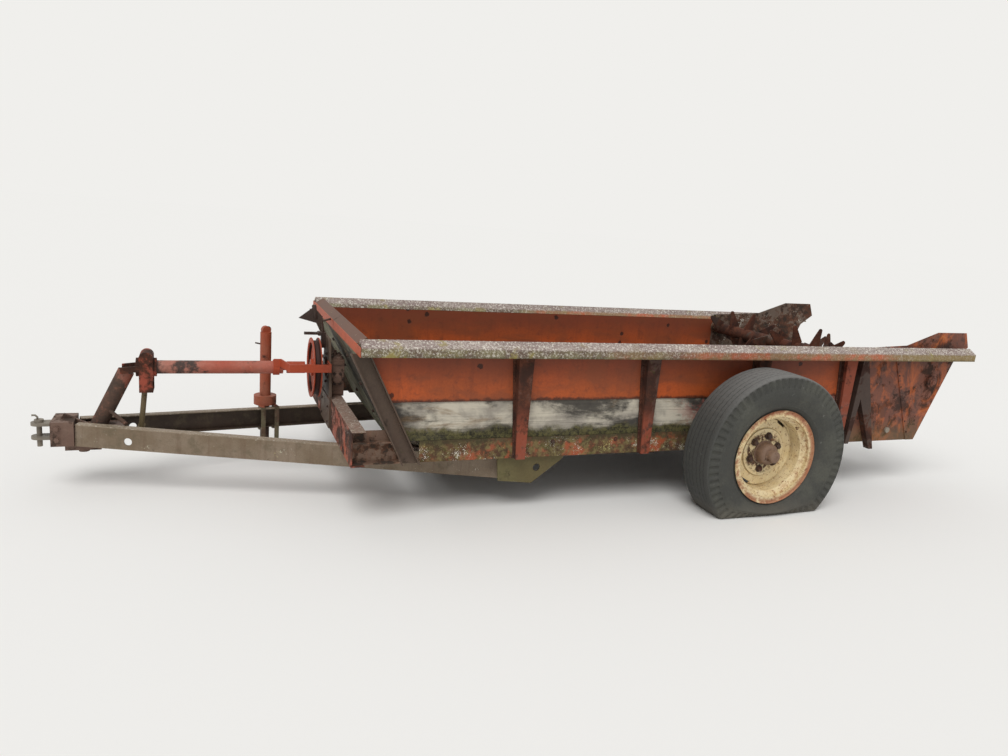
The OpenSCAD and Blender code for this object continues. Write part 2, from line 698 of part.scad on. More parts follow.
// A beater: a tube on its shaft with triangular teeth set in a spiral
module beater(reach, teeth, turn) {
    end = plate_in - 1;
    bar_y(-end, end, shaft_r);
    bar_y(-end + boss_l + 8, end - boss_l - 8, beater_tube_r);
    span = 2 * (end - 110);
    for (i = [0:teeth - 1], k = [0:1])
        translate([0, -span / 2 + i * span / (teeth - 1), 0]) rotate([0, i * turn + k * 180, 0])
            rotate([90, 0, 0]) translate([0, 0, -4]) linear_extrude(8)
            polygon([[beater_tube_r - 8, -45], [reach - 6, -12], [reach, 0], [reach - 6, 12], [beater_tube_r - 8, 45]]);
}
module main_beater() {
    color(dark) translate([main_x, 0, main_z]) beater(beater_r, beater_teeth, 36);
}
module upper_beater() {
    color(dark) translate([upper_x, 0, upper_z]) beater(beater_r, beater_teeth, -36);
}
module spreader_rotor() {
    color(dark) translate([rotor_x, 0, rotor_z]) beater(beater_r - 5, beater_teeth, 45);
}

// Jack outside the right drawbar: clamp straps round the channel, flange, tube with a crank eye, and the sliding leg
jack_wall = 6;
jack_out = jack_r + 12;
jack_top = 790;
strap_w = 26;
strap_t = 8;
strap_x = 42;
beam_gap = 2.5;
jack_flange_z = beam_top(-jack_x) + beam_gap + strap_t;
jack_flange_h = 56;
jack_flange_r = 67;
leg_top = 610;
foot_t = 14;
module at_jack() {
    translate([-jack_x, beam_y(-jack_x), 0]) rotate([0, 0, beam_yaw]) children();
}
module jack_tube() {
    color(orange) at_jack() difference() {
        union() {
            translate([0, jack_out, jack_flange_z]) cylinder(h = jack_top - jack_flange_z, r = jack_r);
            translate([0, jack_out, jack_flange_z - 1]) cylinder(h = jack_flange_h, r = jack_flange_r);
            translate([0, jack_out, jack_top + 12]) bar_y(-16, 16, 26);
            for (s = [-1, 1]) difference() {
                block([s * strap_x - strap_w / 2, -beam_flange - seat - strap_t, 122],
                    [s * strap_x + strap_w / 2, seat + strap_t, jack_flange_z]);
                block([-100, -beam_flange - seat, jack_flange_z - strap_t - beam_h - 2 * beam_gap],
                    [100, seat, jack_flange_z - strap_t]);
                block([-100, -beam_flange - seat, 121], [100, seat + strap_t + 1,
                    jack_flange_z - 2 * strap_t - beam_h - 2 * beam_gap]);
            }
        }
        translate([0, jack_out, jack_flange_z - 2]) cylinder(h = jack_top - 24 - jack_flange_z, r = jack_r - jack_wall);
    }
}
module jack_leg() {
    color(steel) at_jack() translate([0, jack_out, 0]) {
        translate([0, 0, foot_t - 4]) cylinder(h = leg_top - foot_t + 4, r = jack_r - jack_wall - fit);
        cylinder(h = foot_t, r = jack_foot_r);
    }
}

// Wheels: flat tyre, welded rim and disc, and hub
rings = 56;
flat_from = rim_r + 9;
half = tyre_w / 2;
bead = rim_w / 2 - 7 - seat;
tyre_pts = [[(seat_r + seat) / cos(180 / rings), bead], [rim_r + 2, bead], [rim_r + 42, 0.88 * half],
    [rim_r + 88, half], [tyre_r - 84, 0.99 * half], [tyre_r - 40, 0.94 * half], [tyre_r - 17, 0.9 * half],
    [tyre_r - 6, 0.8 * half], [tyre_r, 0.45 * half]];
section = concat([for (p = tyre_pts) [p[0], -p[1]]],
    [for (i = [len(tyre_pts) - 1:-1:0]) tyre_pts[i]]);
function squashed(r, a) = let (room = cos(a) > 0.01 ? axle_z / cos(a) : big)
    room >= tyre_r || r <= flat_from ? r : flat_from + (r - flat_from) * (room - flat_from) / (tyre_r - flat_from);
function bulge(r, a) = let (room = cos(a) > 0.01 ? axle_z / cos(a) : big, t = (r - flat_from) / (tyre_r - flat_from))
    room >= tyre_r || r <= flat_from ? 1 : 1 + 0.35 * (1 - room / tyre_r) * sin(180 * t);
module tyre() {
    n = len(section);
    points = [for (k = [0:rings - 1], p = section) let (a = 360 * (k + 0.5) / rings, r = squashed(p[0], a))
        [r * sin(a), p[1] * bulge(p[0], a), -r * cos(a)]];
    faces = [for (k = [0:rings - 1], j = [0:n - 1]) let (k2 = (k + 1) % rings, j2 = (j + 1) % n)
        [k * n + j, k * n + j2, k2 * n + j2, k2 * n + j]];
    color(rubber) translate([0, -wheel_y, axle_z]) polyhedron(points, faces, convexity = 6);
}
hub_r = 63.5;
cap_r = 36.5;
disc_z = -20;
disc_t = 8;
slot_angle = [57, 242];
well_r = seat_r - 26;
well_t = 6;
step_r = well_r - 18;
module rim() {
    h = rim_w / 2;
    color(cream) translate([0, -wheel_y, axle_z]) rotate([90, 0, 0]) difference() {
        rotate_extrude() polygon([[hub_r + seat, disc_z], [144, disc_z], [150, disc_z - 9], [step_r - 7, disc_z - 11],
            [step_r, disc_z - 20], [well_r - well_t, disc_z - 22], [seat_r - 20, -44],
            [seat_r - well_t, -60], [seat_r - well_t, -h],
            [rim_r - 8, -h - 2], [rim_r - 2, -h - 8], [rim_r, -h - 4], [rim_r - 3, -h + 2], [rim_r - 6, -h + 5],
            [seat_r, -h + 7], [seat_r, -55], [seat_r - 18, -36], [well_r, -28], [well_r, 40],
            [seat_r, 62], [seat_r, h - 7],
            [rim_r - 6, h - 5], [rim_r - 3, h - 2], [rim_r, h + 4], [rim_r - 2, h + 8], [rim_r - 8, h + 2],
            [seat_r - well_t, h], [seat_r - well_t, 67], [well_r - well_t, 46],
            [well_r - well_t, disc_z - 13], [step_r + 2, disc_z - 12],
            [step_r - 5, disc_z - 3], [152, disc_z - 1], [146, disc_z + disc_t], [hub_r + seat, disc_z + disc_t]]);
        for (a = slot_angle) rotate(a) hull() for (y = [-26, 26])
            translate([step_r - 8, y, disc_z - 60]) cylinder(h = 80, r = 9, $fn = 24);
    }
}
module hub() {
    color(rust) translate([0, -wheel_y, axle_z]) rotate([90, 0, 0]) difference() {
        union() {
            translate([0, 0, -96]) cylinder(h = 96 + disc_z + 66, r = hub_r);
            translate([0, 0, disc_z - 14]) cylinder(h = 14 - seat, r = hub_r + 54);
            translate([0, 0, disc_z + 65]) cylinder(h = 12, r1 = hub_r - 4, r2 = cap_r + 8);
            translate([0, 0, disc_z + 70]) cylinder(h = rim_w / 2 + 8 - disc_z - 70, r = cap_r);
        }
        translate([0, 0, -97]) cylinder(h = 97 + spindle_end - wheel_y + 2, r = spindle_r + fit);
    }
}

placed() drawbar();  // drawbar_left
placed() on_side(true) drawbar();  // drawbar_right
placed() {  // drawbar_gussets
    gusset();
    on_side(true) gusset();
}
placed() hitch_casting();
placed() hitch_clevis();
placed() hitch_pin();
placed() shield_post();
placed() shield_bracket();
placed() bracket_rod();
placed() driveline_shield();
placed() driveline_shaft();
placed() belt_guard();
placed() gearbox();
placed() gearbox_stand();
placed() front_bolster();
placed() corner_brackets();
placed() sill();  // sill_left
placed() on_side(true) sill();  // sill_right
placed() cross_members();
placed() floor_boards();
placed() axle();
placed() apron_chain();
placed() apron_shaft(apron_front_x, box_half_w - sill_t - 2);  // apron_front_shaft
placed() apron_shaft(apron_rear_x, box_half_w + 8);  // apron_rear_shaft
placed() side_sheet();  // side_sheet_left
placed() on_side(true) side_sheet();  // side_sheet_right
placed() side_board();  // side_board_left
placed() on_side(true) side_board();  // side_board_right
placed() top_rail();  // top_rail_left
placed() on_side(true) top_rail();  // top_rail_right
placed() stakes();  // stakes_left
placed() on_side(true) stakes();  // stakes_right
placed() front_wall();
placed() front_posts();
placed() front_rail();
placed() control_levers();
placed() rear_plate();  // rear_plate_left
placed() on_side(true) rear_plate();  // rear_plate_right
placed() rear_braces();
placed() drive_case();
placed() side_drive();
placed() main_beater();
placed() upper_beater();
placed() spreader_rotor();
placed() jack_tube();
placed() jack_leg();
placed() tyre();  // tyre_left
placed() rim();  // rim_left
placed() hub();  // hub_left
placed() on_side(true) tyre();  // tyre_right
placed() on_side(true) rim();  // rim_right
placed() on_side(true) hub();  // hub_right
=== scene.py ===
"""Manure spreader: weathered finishes, tyres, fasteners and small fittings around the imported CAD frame.

Metres, in the machine's own frame: -X to the hitch, -Y to its left side, +Z up, origin on the ground.
"""

import math

import bmesh
import bpy
from bpy.props import FloatProperty, FloatVectorProperty, IntProperty, PointerProperty
from mathutils import Matrix, Vector


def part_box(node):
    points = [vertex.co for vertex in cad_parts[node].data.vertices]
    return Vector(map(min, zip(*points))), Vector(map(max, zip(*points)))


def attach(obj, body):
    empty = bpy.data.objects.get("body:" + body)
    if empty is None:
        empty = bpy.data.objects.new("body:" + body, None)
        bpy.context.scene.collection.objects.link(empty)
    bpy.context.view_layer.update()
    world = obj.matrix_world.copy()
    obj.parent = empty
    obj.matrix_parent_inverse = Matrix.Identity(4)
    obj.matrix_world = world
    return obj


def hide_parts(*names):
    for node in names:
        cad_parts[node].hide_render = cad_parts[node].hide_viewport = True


bl_info = {
    "name": "Manure spreader finishes",
    "version": (1, 0, 0),
    "blender": (4, 5, 0),
    "location": "3D View > Sidebar > Spreader",
    "description": "Weathered finishes, tyres, fasteners and fittings for the manure spreader",
    "category": "Object",
}

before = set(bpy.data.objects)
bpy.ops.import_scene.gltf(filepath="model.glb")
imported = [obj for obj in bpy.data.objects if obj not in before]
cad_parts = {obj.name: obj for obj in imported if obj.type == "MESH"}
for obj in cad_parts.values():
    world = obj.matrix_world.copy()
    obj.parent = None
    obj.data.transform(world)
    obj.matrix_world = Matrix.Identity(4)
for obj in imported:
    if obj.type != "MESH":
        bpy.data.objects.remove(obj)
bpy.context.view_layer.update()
SIDES = {"left": -1, "right": 1}


def low(node):
    return Vector(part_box(node)[0])


def high(node):
    return Vector(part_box(node)[1])


def middle(node):
    return (low(node) + high(node)) / 2


AXLE_X = middle("axle").x
AXLE_Z = middle("axle").z
WHEEL_Y = middle("rim_right").y
BOX_Y = high("side_sheet_right").y
SILL_Z = low("sill_left").z
FLOOR_Z = high("floor_boards").z
BOARD_TOP = high("side_board_left").z
LIP_Z = low("top_rail_left").z
POST_LEAN = math.radians(26)
POST_TAN = math.tan(POST_LEAN)
POST_FOOT_X = low("front_posts").x + (high("front_posts").z - SILL_Z) * POST_TAN
DRIVE_Z = middle("driveline_shield").z
JACK = middle("jack_leg")
CHAIN_Y = BOX_Y - 0.185

# Places along the machine, measured from the axle, and the run of the drawbar
SHEAVE_X = AXLE_X - 2.505
POST_FITTING_X = AXLE_X - 3.618
BEAM_NOSE_X = AXLE_X - 3.718
BEAM_NOSE_Y = 0.080
BEAM_YAW = math.atan((BOX_Y - 0.041 - BEAM_NOSE_Y) / 2.298)
BEAM_START = low("drawbar_left").x
BEAM_TOP = high("drawbar_left").z
BEAM_FALL = 0.038
STAKE_FEET = (AXLE_X - 1.501, AXLE_X - 0.712, AXLE_X + 0.077, AXLE_X + 0.771)
CROSS_MEMBERS = [AXLE_X + x + 0.025 for x in (-1.82, -1.42, -0.95, -0.5, -0.13, 0.35, 0.72, 1.06)]

# Floor planks with the width of them all, and slats on the upper run of the apron
PLANKS = 7
PLANKS_WIDTH = 1.39
SLATS = 8

# Where one finish gives way to another: heights, and places along the machine
BOLSTER_EDGE_Z = (0.4985, 0.5005)
STRAP_TOP_Z = (0.3398, 0.3408)
FRONT_STRIP_X = (-1.3665, -1.3640)
PAINTED_STAKE_X = (1.68, 1.70)
PAINTED_BOARD_X = (0.45, 0.75)

# Wheel: bolt circle, place of the disc across it, and the radii of the disc's steps and the rim's flange
BOLT_CIRCLE = 0.102
DISC_OFFSET = -0.012
DISC_RING = 0.147
DISC_JOINT = 0.209
RIM_RADIUS = 0.2857

# Tyre: grooves measured across from the middle of the tread, the radius where a flat tyre starts to give
# way, and the strength of its bulge there
TREAD_LINES = (0.019, 0.052, 0.082)
SQUASH_FROM = 0.2945
SQUASH_BULGE = 0.35

# The photograph's viewpoint: width and focal length in pixels, place, and turn in radians
PHOTO_WIDTH = 1008
FOCAL_PIXELS = 746.539
CAMERA_PLACE = (-2.054145, -4.319297, 1.599493)
CAMERA_YAW = 0.390865
CAMERA_PITCH = 0.213281
CAMERA_ROLL = 0.083275
SENSOR_WIDTH = 36


def tone(code):
    """Linear colour of a #rrggbb code."""
    parts = [int(code[i:i + 2], 16) / 255 for i in (1, 3, 5)]
    return tuple(c / 12.92 if c <= 0.04045 else ((c + 0.055) / 1.055) ** 2.4 for c in parts)


def colour_setting(name, code, description):
    return FloatVectorProperty(name=name, description=description, subtype="COLOR", size=3, min=0, max=1,
                               default=tone(code))


def length_setting(name, size, description):
    return FloatProperty(name=name, description=description, default=size, min=0.0005, unit="LENGTH")


# Settings
class SpreaderPaint(bpy.types.PropertyGroup):
    orange: colour_setting("Orange", "#be5828", "Faded orange of the side sheets")
    # Painted shade: the orange darkened where the rail caps overhang the side sheets
    painted_shade: colour_setting("Shaded orange", "#713a2a", "Darkened paint under the rail caps")
    rust: colour_setting("Rust", "#6b3d2a", "Middle rust")
    dark_rust: colour_setting("Dark rust", "#3a241c", "Old dark rust")
    lichen: colour_setting("Lichen", "#dbd5c6", "Pale crust lichen")
    chalk: colour_setting("Chalked paint", "#a3938c", "Chalked pink grey of the rail caps")
    moss: colour_setting("Moss", "#4f4d28", "Moss and green growth")
    cream: colour_setting("Cream", "#ead9b0", "Faded cream of the wheels")


class SpreaderWood(bpy.types.PropertyGroup):
    pale: colour_setting("Pale wood", "#c4bcab", "Weathered bare wood")
    grey: colour_setting("Grey wood", "#989186", "Grey wood")
    stain: colour_setting("Stain", "#2d2a28", "Black water stain")


class SpreaderTyres(bpy.types.PropertyGroup):
    rubber: colour_setting("Rubber", "#42423e", "Old black rubber")
    # Sun-bleached rubber together with a painted highlight, for the upper tread
    bleached_and_lit: colour_setting("Bleached rubber", "#7c7a77", "Sun-bleached rubber on the tread")
    dirt: colour_setting("Dirt", "#6d665b", "Dried dirt on rubber")
    bars: IntProperty(name="Bars", description="Shoulder bars around a tyre", default=66, min=24, max=160)
    radius: length_setting("Radius", 0.4985, "Radius of the tread where it is round")
    width: length_setting("Width", 0.259, "Section width of a tyre")


class SpreaderFasteners(bpy.types.PropertyGroup):
    bolt: length_setting("Bolt", 0.019, "Width of a small bolt head across its corners")
    lug: length_setting("Wheel bolt", 0.034, "Width of a wheel bolt head across its corners")
    rivet: length_setting("Rivet", 0.014, "Width of a rivet head")
    link: length_setting("Link", 0.050, "Pitch of the apron chain links")


class SpreaderStage(bpy.types.PropertyGroup):
    floor: colour_setting("Floor", "#efeeeb", "Pale studio floor")
    backdrop: colour_setting("Backdrop", "#f0efec", "Pale backdrop behind the floor")
    sun: FloatProperty(name="Sun", description="Strength of the soft key light", default=1.5, min=0)
    sky: FloatProperty(name="Sky", description="Strength of the even light from all round", default=0.62,
                       min=0)


# Node helpers
class Nodes:
    """A short way to add nodes and links to one tree."""

    def __init__(self, tree):
        self.tree = tree

    def add(self, kind, **settings):
        node = self.tree.nodes.new(kind)
        for name, value in settings.items():
            setattr(node, name, value)
        return node

    def put(self, socket, value):
        if isinstance(value, bpy.types.NodeSocket):
            self.tree.links.new(value, socket)
        elif value is not None:
            if isinstance(value, tuple) and len(value) == 3 and socket.type == "RGBA":
                value = (*value, 1)
            socket.default_value = value

    def made(self, kind, inputs, **settings):
        """A node with its inputs filled by name, and its first output."""
        node = self.add(kind, **settings)
        for name, value in inputs.items():
            self.put(node.inputs[name], value)
        return node.outputs[0]

    def math(self, operation, *values):
        node = self.add("ShaderNodeMath", operation=operation)
        for socket, value in zip(node.inputs, values):
            self.put(socket, value)
        return node.outputs[0]

    def times(self, a, b):
        return self.math("MULTIPLY", a, b)

    def plus(self, a, b):
        return self.math("ADD", a, b)

    def minus(self, a, b):
        return self.math("SUBTRACT", a, b)

    def times_plus(self, a, b, c):
        """a times b, plus c."""
        return self.math("MULTIPLY_ADD", a, b, c)

    def flip(self, mask):
        """The mask with 0 and 1 changed over."""
        return self.math("SUBTRACT", 1.0, mask)

    def gap(self, a, b):
        """How far two values are apart."""
        return self.math("ABSOLUTE", self.minus(a, b))

    def most(self, first, *others):
        """The highest of several masks."""
        return self.math("MAXIMUM", first, self.most(*others)) if others else first

    def blend(self, factor, a, b):
        node = self.add("ShaderNodeMix", data_type="RGBA")
        self.put(node.inputs[0], factor)
        self.put(node.inputs[6], a)
        self.put(node.inputs[7], b)
        return node.outputs[2]

    def noise(self, vector, scale, detail, rough=0.6, distortion=0.0):
        return self.made("ShaderNodeTexNoise", {"Vector": vector, "Scale": scale, "Detail": detail,
                                                "Roughness": rough, "Distortion": distortion})

    def stretch(self, vector, scale, shift=(0.0, 0.0, 0.0)):
        node = self.add("ShaderNodeVectorMath", operation="MULTIPLY_ADD")
        for socket, value in zip(node.inputs, (vector, scale, shift)):
            self.put(socket, value)
        return node.outputs[0]

    def axis(self, vector, index):
        node = self.add("ShaderNodeSeparateXYZ")
        self.put(node.inputs[0], vector)
        return node.outputs[index]

    def ramp(self, value, start, end, out_start=0.0, out_end=1.0):
        node = self.add("ShaderNodeMapRange", interpolation_type="SMOOTHSTEP", clamp=True)
        for socket, v in zip(node.inputs, (value, start, end, out_start, out_end)):
            self.put(socket, v)
        return node.outputs[0]


VECTOR, FLOAT, COLOUR = "NodeSocketVector", "NodeSocketFloat", "NodeSocketColor"


def shader_group(name, inputs, outputs):
    """A new shader node group with the named sockets: (name, kind, default)."""
    tree = bpy.data.node_groups.new(name, "ShaderNodeTree")
    for label, kind, default in inputs:
        socket = tree.interface.new_socket(name=label, in_out="INPUT", socket_type=kind)
        if default is not None:
            socket.default_value = default if kind != COLOUR else (*default, 1)
    for label, kind in outputs:
        tree.interface.new_socket(name=label, in_out="OUTPUT", socket_type=kind)
    nodes = Nodes(tree)
    return nodes, nodes.add("NodeGroupInput"), nodes.add("NodeGroupOutput")


def make_worn_paint():
    """Paint that has faded, run with rust and chipped through to rusty steel."""
    n, i, o = shader_group("worn_paint", [
        ("Vector", VECTOR, None), ("Paint", COLOUR, (0.5, 0.2, 0.1)), ("Faded", COLOUR, (0.6, 0.3, 0.2)),
        ("Rust", COLOUR, (0.2, 0.1, 0.05)), ("Dark", COLOUR, (0.05, 0.03, 0.02)),
        ("Rust Amount", FLOAT, 0.4), ("Streaks", FLOAT, 0.5), ("Scale", FLOAT, 1.0)],
        [("Color", COLOUR), ("Roughness", FLOAT), ("Height", FLOAT), ("Mask", FLOAT)])
    v, s = i.outputs["Vector"], i.outputs["Scale"]
    broad = n.noise(v, n.times(s, 2.3), 6, 0.6, 0.3)
    patch = n.noise(v, n.times(s, 8.0), 8, 0.68, 0.2)
    fine = n.noise(v, n.times(s, 70.0), 5, 0.7)
    runs = n.noise(n.stretch(v, (11.0, 11.0, 0.8)), n.times(s, 1.6), 6, 0.62)
    mixed = n.times_plus(broad, 0.5, n.times(patch, 0.5))
    level = n.times_plus(i.outputs["Rust Amount"], -0.42, 0.74)
    rust = n.ramp(mixed, n.minus(level, 0.03), n.plus(level, 0.03))
    run = n.times(n.ramp(runs, 0.50, 0.70), i.outputs["Streaks"])
    specks = n.times(n.ramp(fine, 0.66, 0.73), n.ramp(patch, 0.42, 0.6))
    paint = n.blend(n.ramp(broad, 0.35, 0.65), i.outputs["Paint"], i.outputs["Faded"])
    paint = n.blend(n.times(run, 0.75), paint, i.outputs["Rust"])
    steel = n.blend(n.ramp(patch, 0.40, 0.62), i.outputs["Rust"], i.outputs["Dark"])
    steel = n.blend(n.times(fine, 0.5), steel, i.outputs["Dark"])
    mask = n.math("MAXIMUM", rust, n.times(specks, 0.8))
    tinted = n.blend(n.ramp(fine, 0.3, 0.7, 0.0, 0.16), n.blend(mask, paint, steel), (0.0, 0.0, 0.0))
    n.put(o.inputs["Color"], tinted)
    n.put(o.inputs["Roughness"], n.ramp(mask, 0.0, 1.0, 0.56, 0.9))
    n.put(o.inputs["Height"], n.times_plus(mask, -0.5, n.times(fine, 0.35)))
    n.put(o.inputs["Mask"], mask)
    return n.tree


def make_growth():
    """Crust lichen in small pale discs, grey crust and moss, laid over a colour."""
    n, i, o = shader_group("growth", [
        ("Vector", VECTOR, None), ("Color", COLOUR, (0.3, 0.2, 0.2)), ("Lichen", COLOUR, (0.5, 0.5, 0.4)),
        ("Moss", COLOUR, (0.1, 0.1, 0.03)), ("Lichen Amount", FLOAT, 0.4), ("Moss Amount", FLOAT, 0.2),
        ("Spot Scale", FLOAT, 110.0)],
        [("Color", COLOUR), ("Height", FLOAT)])
    v = i.outputs["Vector"]
    grain = n.noise(v, 190.0, 4, 0.75)
    where = n.noise(v, 9.0, 6, 0.78)
    amount = i.outputs["Lichen Amount"]
    reach = n.ramp(where, n.times_plus(amount, -0.62, 0.80), n.times_plus(amount, -0.25, 0.92))
    spots = []
    for factor, size in ((0.55, 0.42), (1.0, 0.55), (2.3, 0.60)):
        cells = n.add("ShaderNodeTexVoronoi", feature="F1")
        n.put(cells.inputs["Vector"], v)
        n.put(cells.inputs["Scale"], n.times(i.outputs["Spot Scale"], factor))
        edge = n.times_plus(n.minus(grain, 0.5), 0.5, cells.outputs["Distance"])
        spots.append(n.ramp(edge, n.times_plus(reach, size, -0.12), n.times(reach, size), 1.0, 0.0))
    disc = n.most(*spots)
    disc = n.times(disc, n.ramp(amount, 0.0, 0.05))
    start = n.times_plus(i.outputs["Moss Amount"], -0.45, 0.74)
    green = n.ramp(n.noise(v, 17.0, 9, 0.78), start, n.plus(start, 0.12))
    green = n.times(green, n.ramp(i.outputs["Moss Amount"], 0.0, 0.05))
    colour = n.blend(n.times(green, 0.85), i.outputs["Color"], i.outputs["Moss"])
    tint = n.blend(n.ramp(n.noise(v, 3.1, 3, 0.6), 0.50, 0.60), i.outputs["Lichen"], tone("#a49a5c"))
    tint = n.blend(n.ramp(grain, 0.40, 0.68, 0.0, 0.45), tint, tone("#7d786c"))
    n.put(o.inputs["Color"], n.blend(n.times(disc, 0.92), colour, tint))
    n.put(o.inputs["Height"], n.times(n.math("MAXIMUM", disc, green), grain))
    return n.tree


def make_height_band():
    """A ragged mask that is 0 at one height and 1 at the other."""
    n, i, o = shader_group("height_band", [
        ("Vector", VECTOR, None), ("From Z", FLOAT, 0.4), ("To Z", FLOAT, 0.5), ("Ragged", FLOAT, 0.05),
        ("Scale", FLOAT, 9.0)], [("Mask", FLOAT)])
    v = i.outputs["Vector"]
    shake = n.minus(n.noise(v, i.outputs["Scale"], 7, 0.7), 0.5)
    z = n.times_plus(shake, n.times(i.outputs["Ragged"], 4.0), n.axis(v, 2))
    n.put(o.inputs["Mask"], n.ramp(z, i.outputs["From Z"], i.outputs["To Z"]))
    return n.tree


def make_old_wood():
    """Bare boards gone grey, with open grain, black stain and splits along them."""
    n, i, o = shader_group("old_wood", [
        ("Vector", VECTOR, None), ("Pale", COLOUR, (0.5, 0.5, 0.4)), ("Grey", COLOUR, (0.3, 0.3, 0.3)),
        ("Stain", COLOUR, (0.03, 0.03, 0.03)), ("Stain Amount", FLOAT, 0.4),
        ("Along", VECTOR, (0.9, 22.0, 22.0))], [("Color", COLOUR), ("Roughness", FLOAT), ("Height", FLOAT)])
    v = i.outputs["Vector"]
    along = n.stretch(v, i.outputs["Along"])
    grain = n.noise(along, 2.4, 8, 0.6, 0.5)
    cloud = n.noise(v, 5.0, 6, 0.6, 0.6)
    split = n.noise(along, 0.8, 2, 0.5, 0.7)
    stain = n.noise(n.stretch(v, (0.9, 0.9, 2.6), (0.35, 0.0, 0.0)), 1.9, 6, 0.60, 0.3)
    spot = n.noise(v, 24.0, 6, 0.7)
    line = n.flip(n.ramp(n.gap(split, 0.5), 0.0, 0.006))
    mix = n.times_plus(cloud, 0.7, n.times(grain, 0.3))
    base = n.blend(n.ramp(mix, 0.40, 0.60), i.outputs["Grey"], i.outputs["Pale"])
    level = n.times_plus(i.outputs["Stain Amount"], -0.4, 0.80)
    dark = n.ramp(n.times_plus(spot, 0.14, stain), level, n.plus(level, 0.12))
    base = n.blend(n.times(dark, 0.88), base, i.outputs["Stain"])
    base = n.blend(n.ramp(spot, 0.60, 0.74, 0.0, 0.45), base, i.outputs["Stain"])
    n.put(o.inputs["Color"], n.blend(n.times(line, 0.5), base, i.outputs["Stain"]))
    n.put(o.inputs["Roughness"], n.ramp(dark, 0.0, 1.0, 0.88, 0.76))
    n.put(o.inputs["Height"], n.minus(n.times(grain, 0.6), line))
    return n.tree


# Materials
class Finish:
    """A new material whose Principled shader is filled from node groups."""

    def __init__(self, name, groups):
        self.material = bpy.data.materials.new(name)
        self.material.use_nodes = True
        tree = self.material.node_tree
        self.groups = groups
        self.n = Nodes(tree)
        self.shader = tree.nodes["Principled BSDF"]
        self.object = self.n.add("ShaderNodeTexCoord").outputs["Object"]

    def group(self, name, **values):
        node = self.n.add("ShaderNodeGroup")
        node.node_tree = self.groups[name]
        self.n.put(node.inputs["Vector"], self.object)
        for label, value in values.items():
            self.n.put(node.inputs[label.replace("_", " ")], value)
        return node.outputs

    def band(self, start, end, ragged, scale=9.0):
        """A ragged mask that is 0 below one height and 1 above the other."""
        return self.group("height_band", From_Z=start, To_Z=end, Ragged=ragged, Scale=scale)["Mask"]

    def axis(self, index):
        return self.n.axis(self.object, index)

    def patches(self, noise, *limits):
        """Noise on the surface between two limits: noise is (scale, detail, roughness, distortion)."""
        return self.n.ramp(self.n.noise(self.object, *noise), *limits)

    def radius(self, *centres):
        """Distance from a line: each centre is (axis index, place on that axis)."""
        offsets = [self.n.minus(self.axis(index), place) for index, place in centres]
        squares = [self.n.times(offset, offset) for offset in offsets]
        return self.n.math("SQRT", self.n.plus(*squares))

    def finish(self, colour, roughness, height=None, depth=0.002, strength=0.6, specular=0.3):
        self.n.put(self.shader.inputs["Base Color"], colour)
        self.n.put(self.shader.inputs["Roughness"], roughness)
        self.shader.inputs["Specular IOR Level"].default_value = specular
        if height is not None:
            bump = self.n.made("ShaderNodeBump", {"Strength": strength, "Distance": depth, "Height": height})
            self.n.put(self.shader.inputs["Normal"], bump)
        return self.material


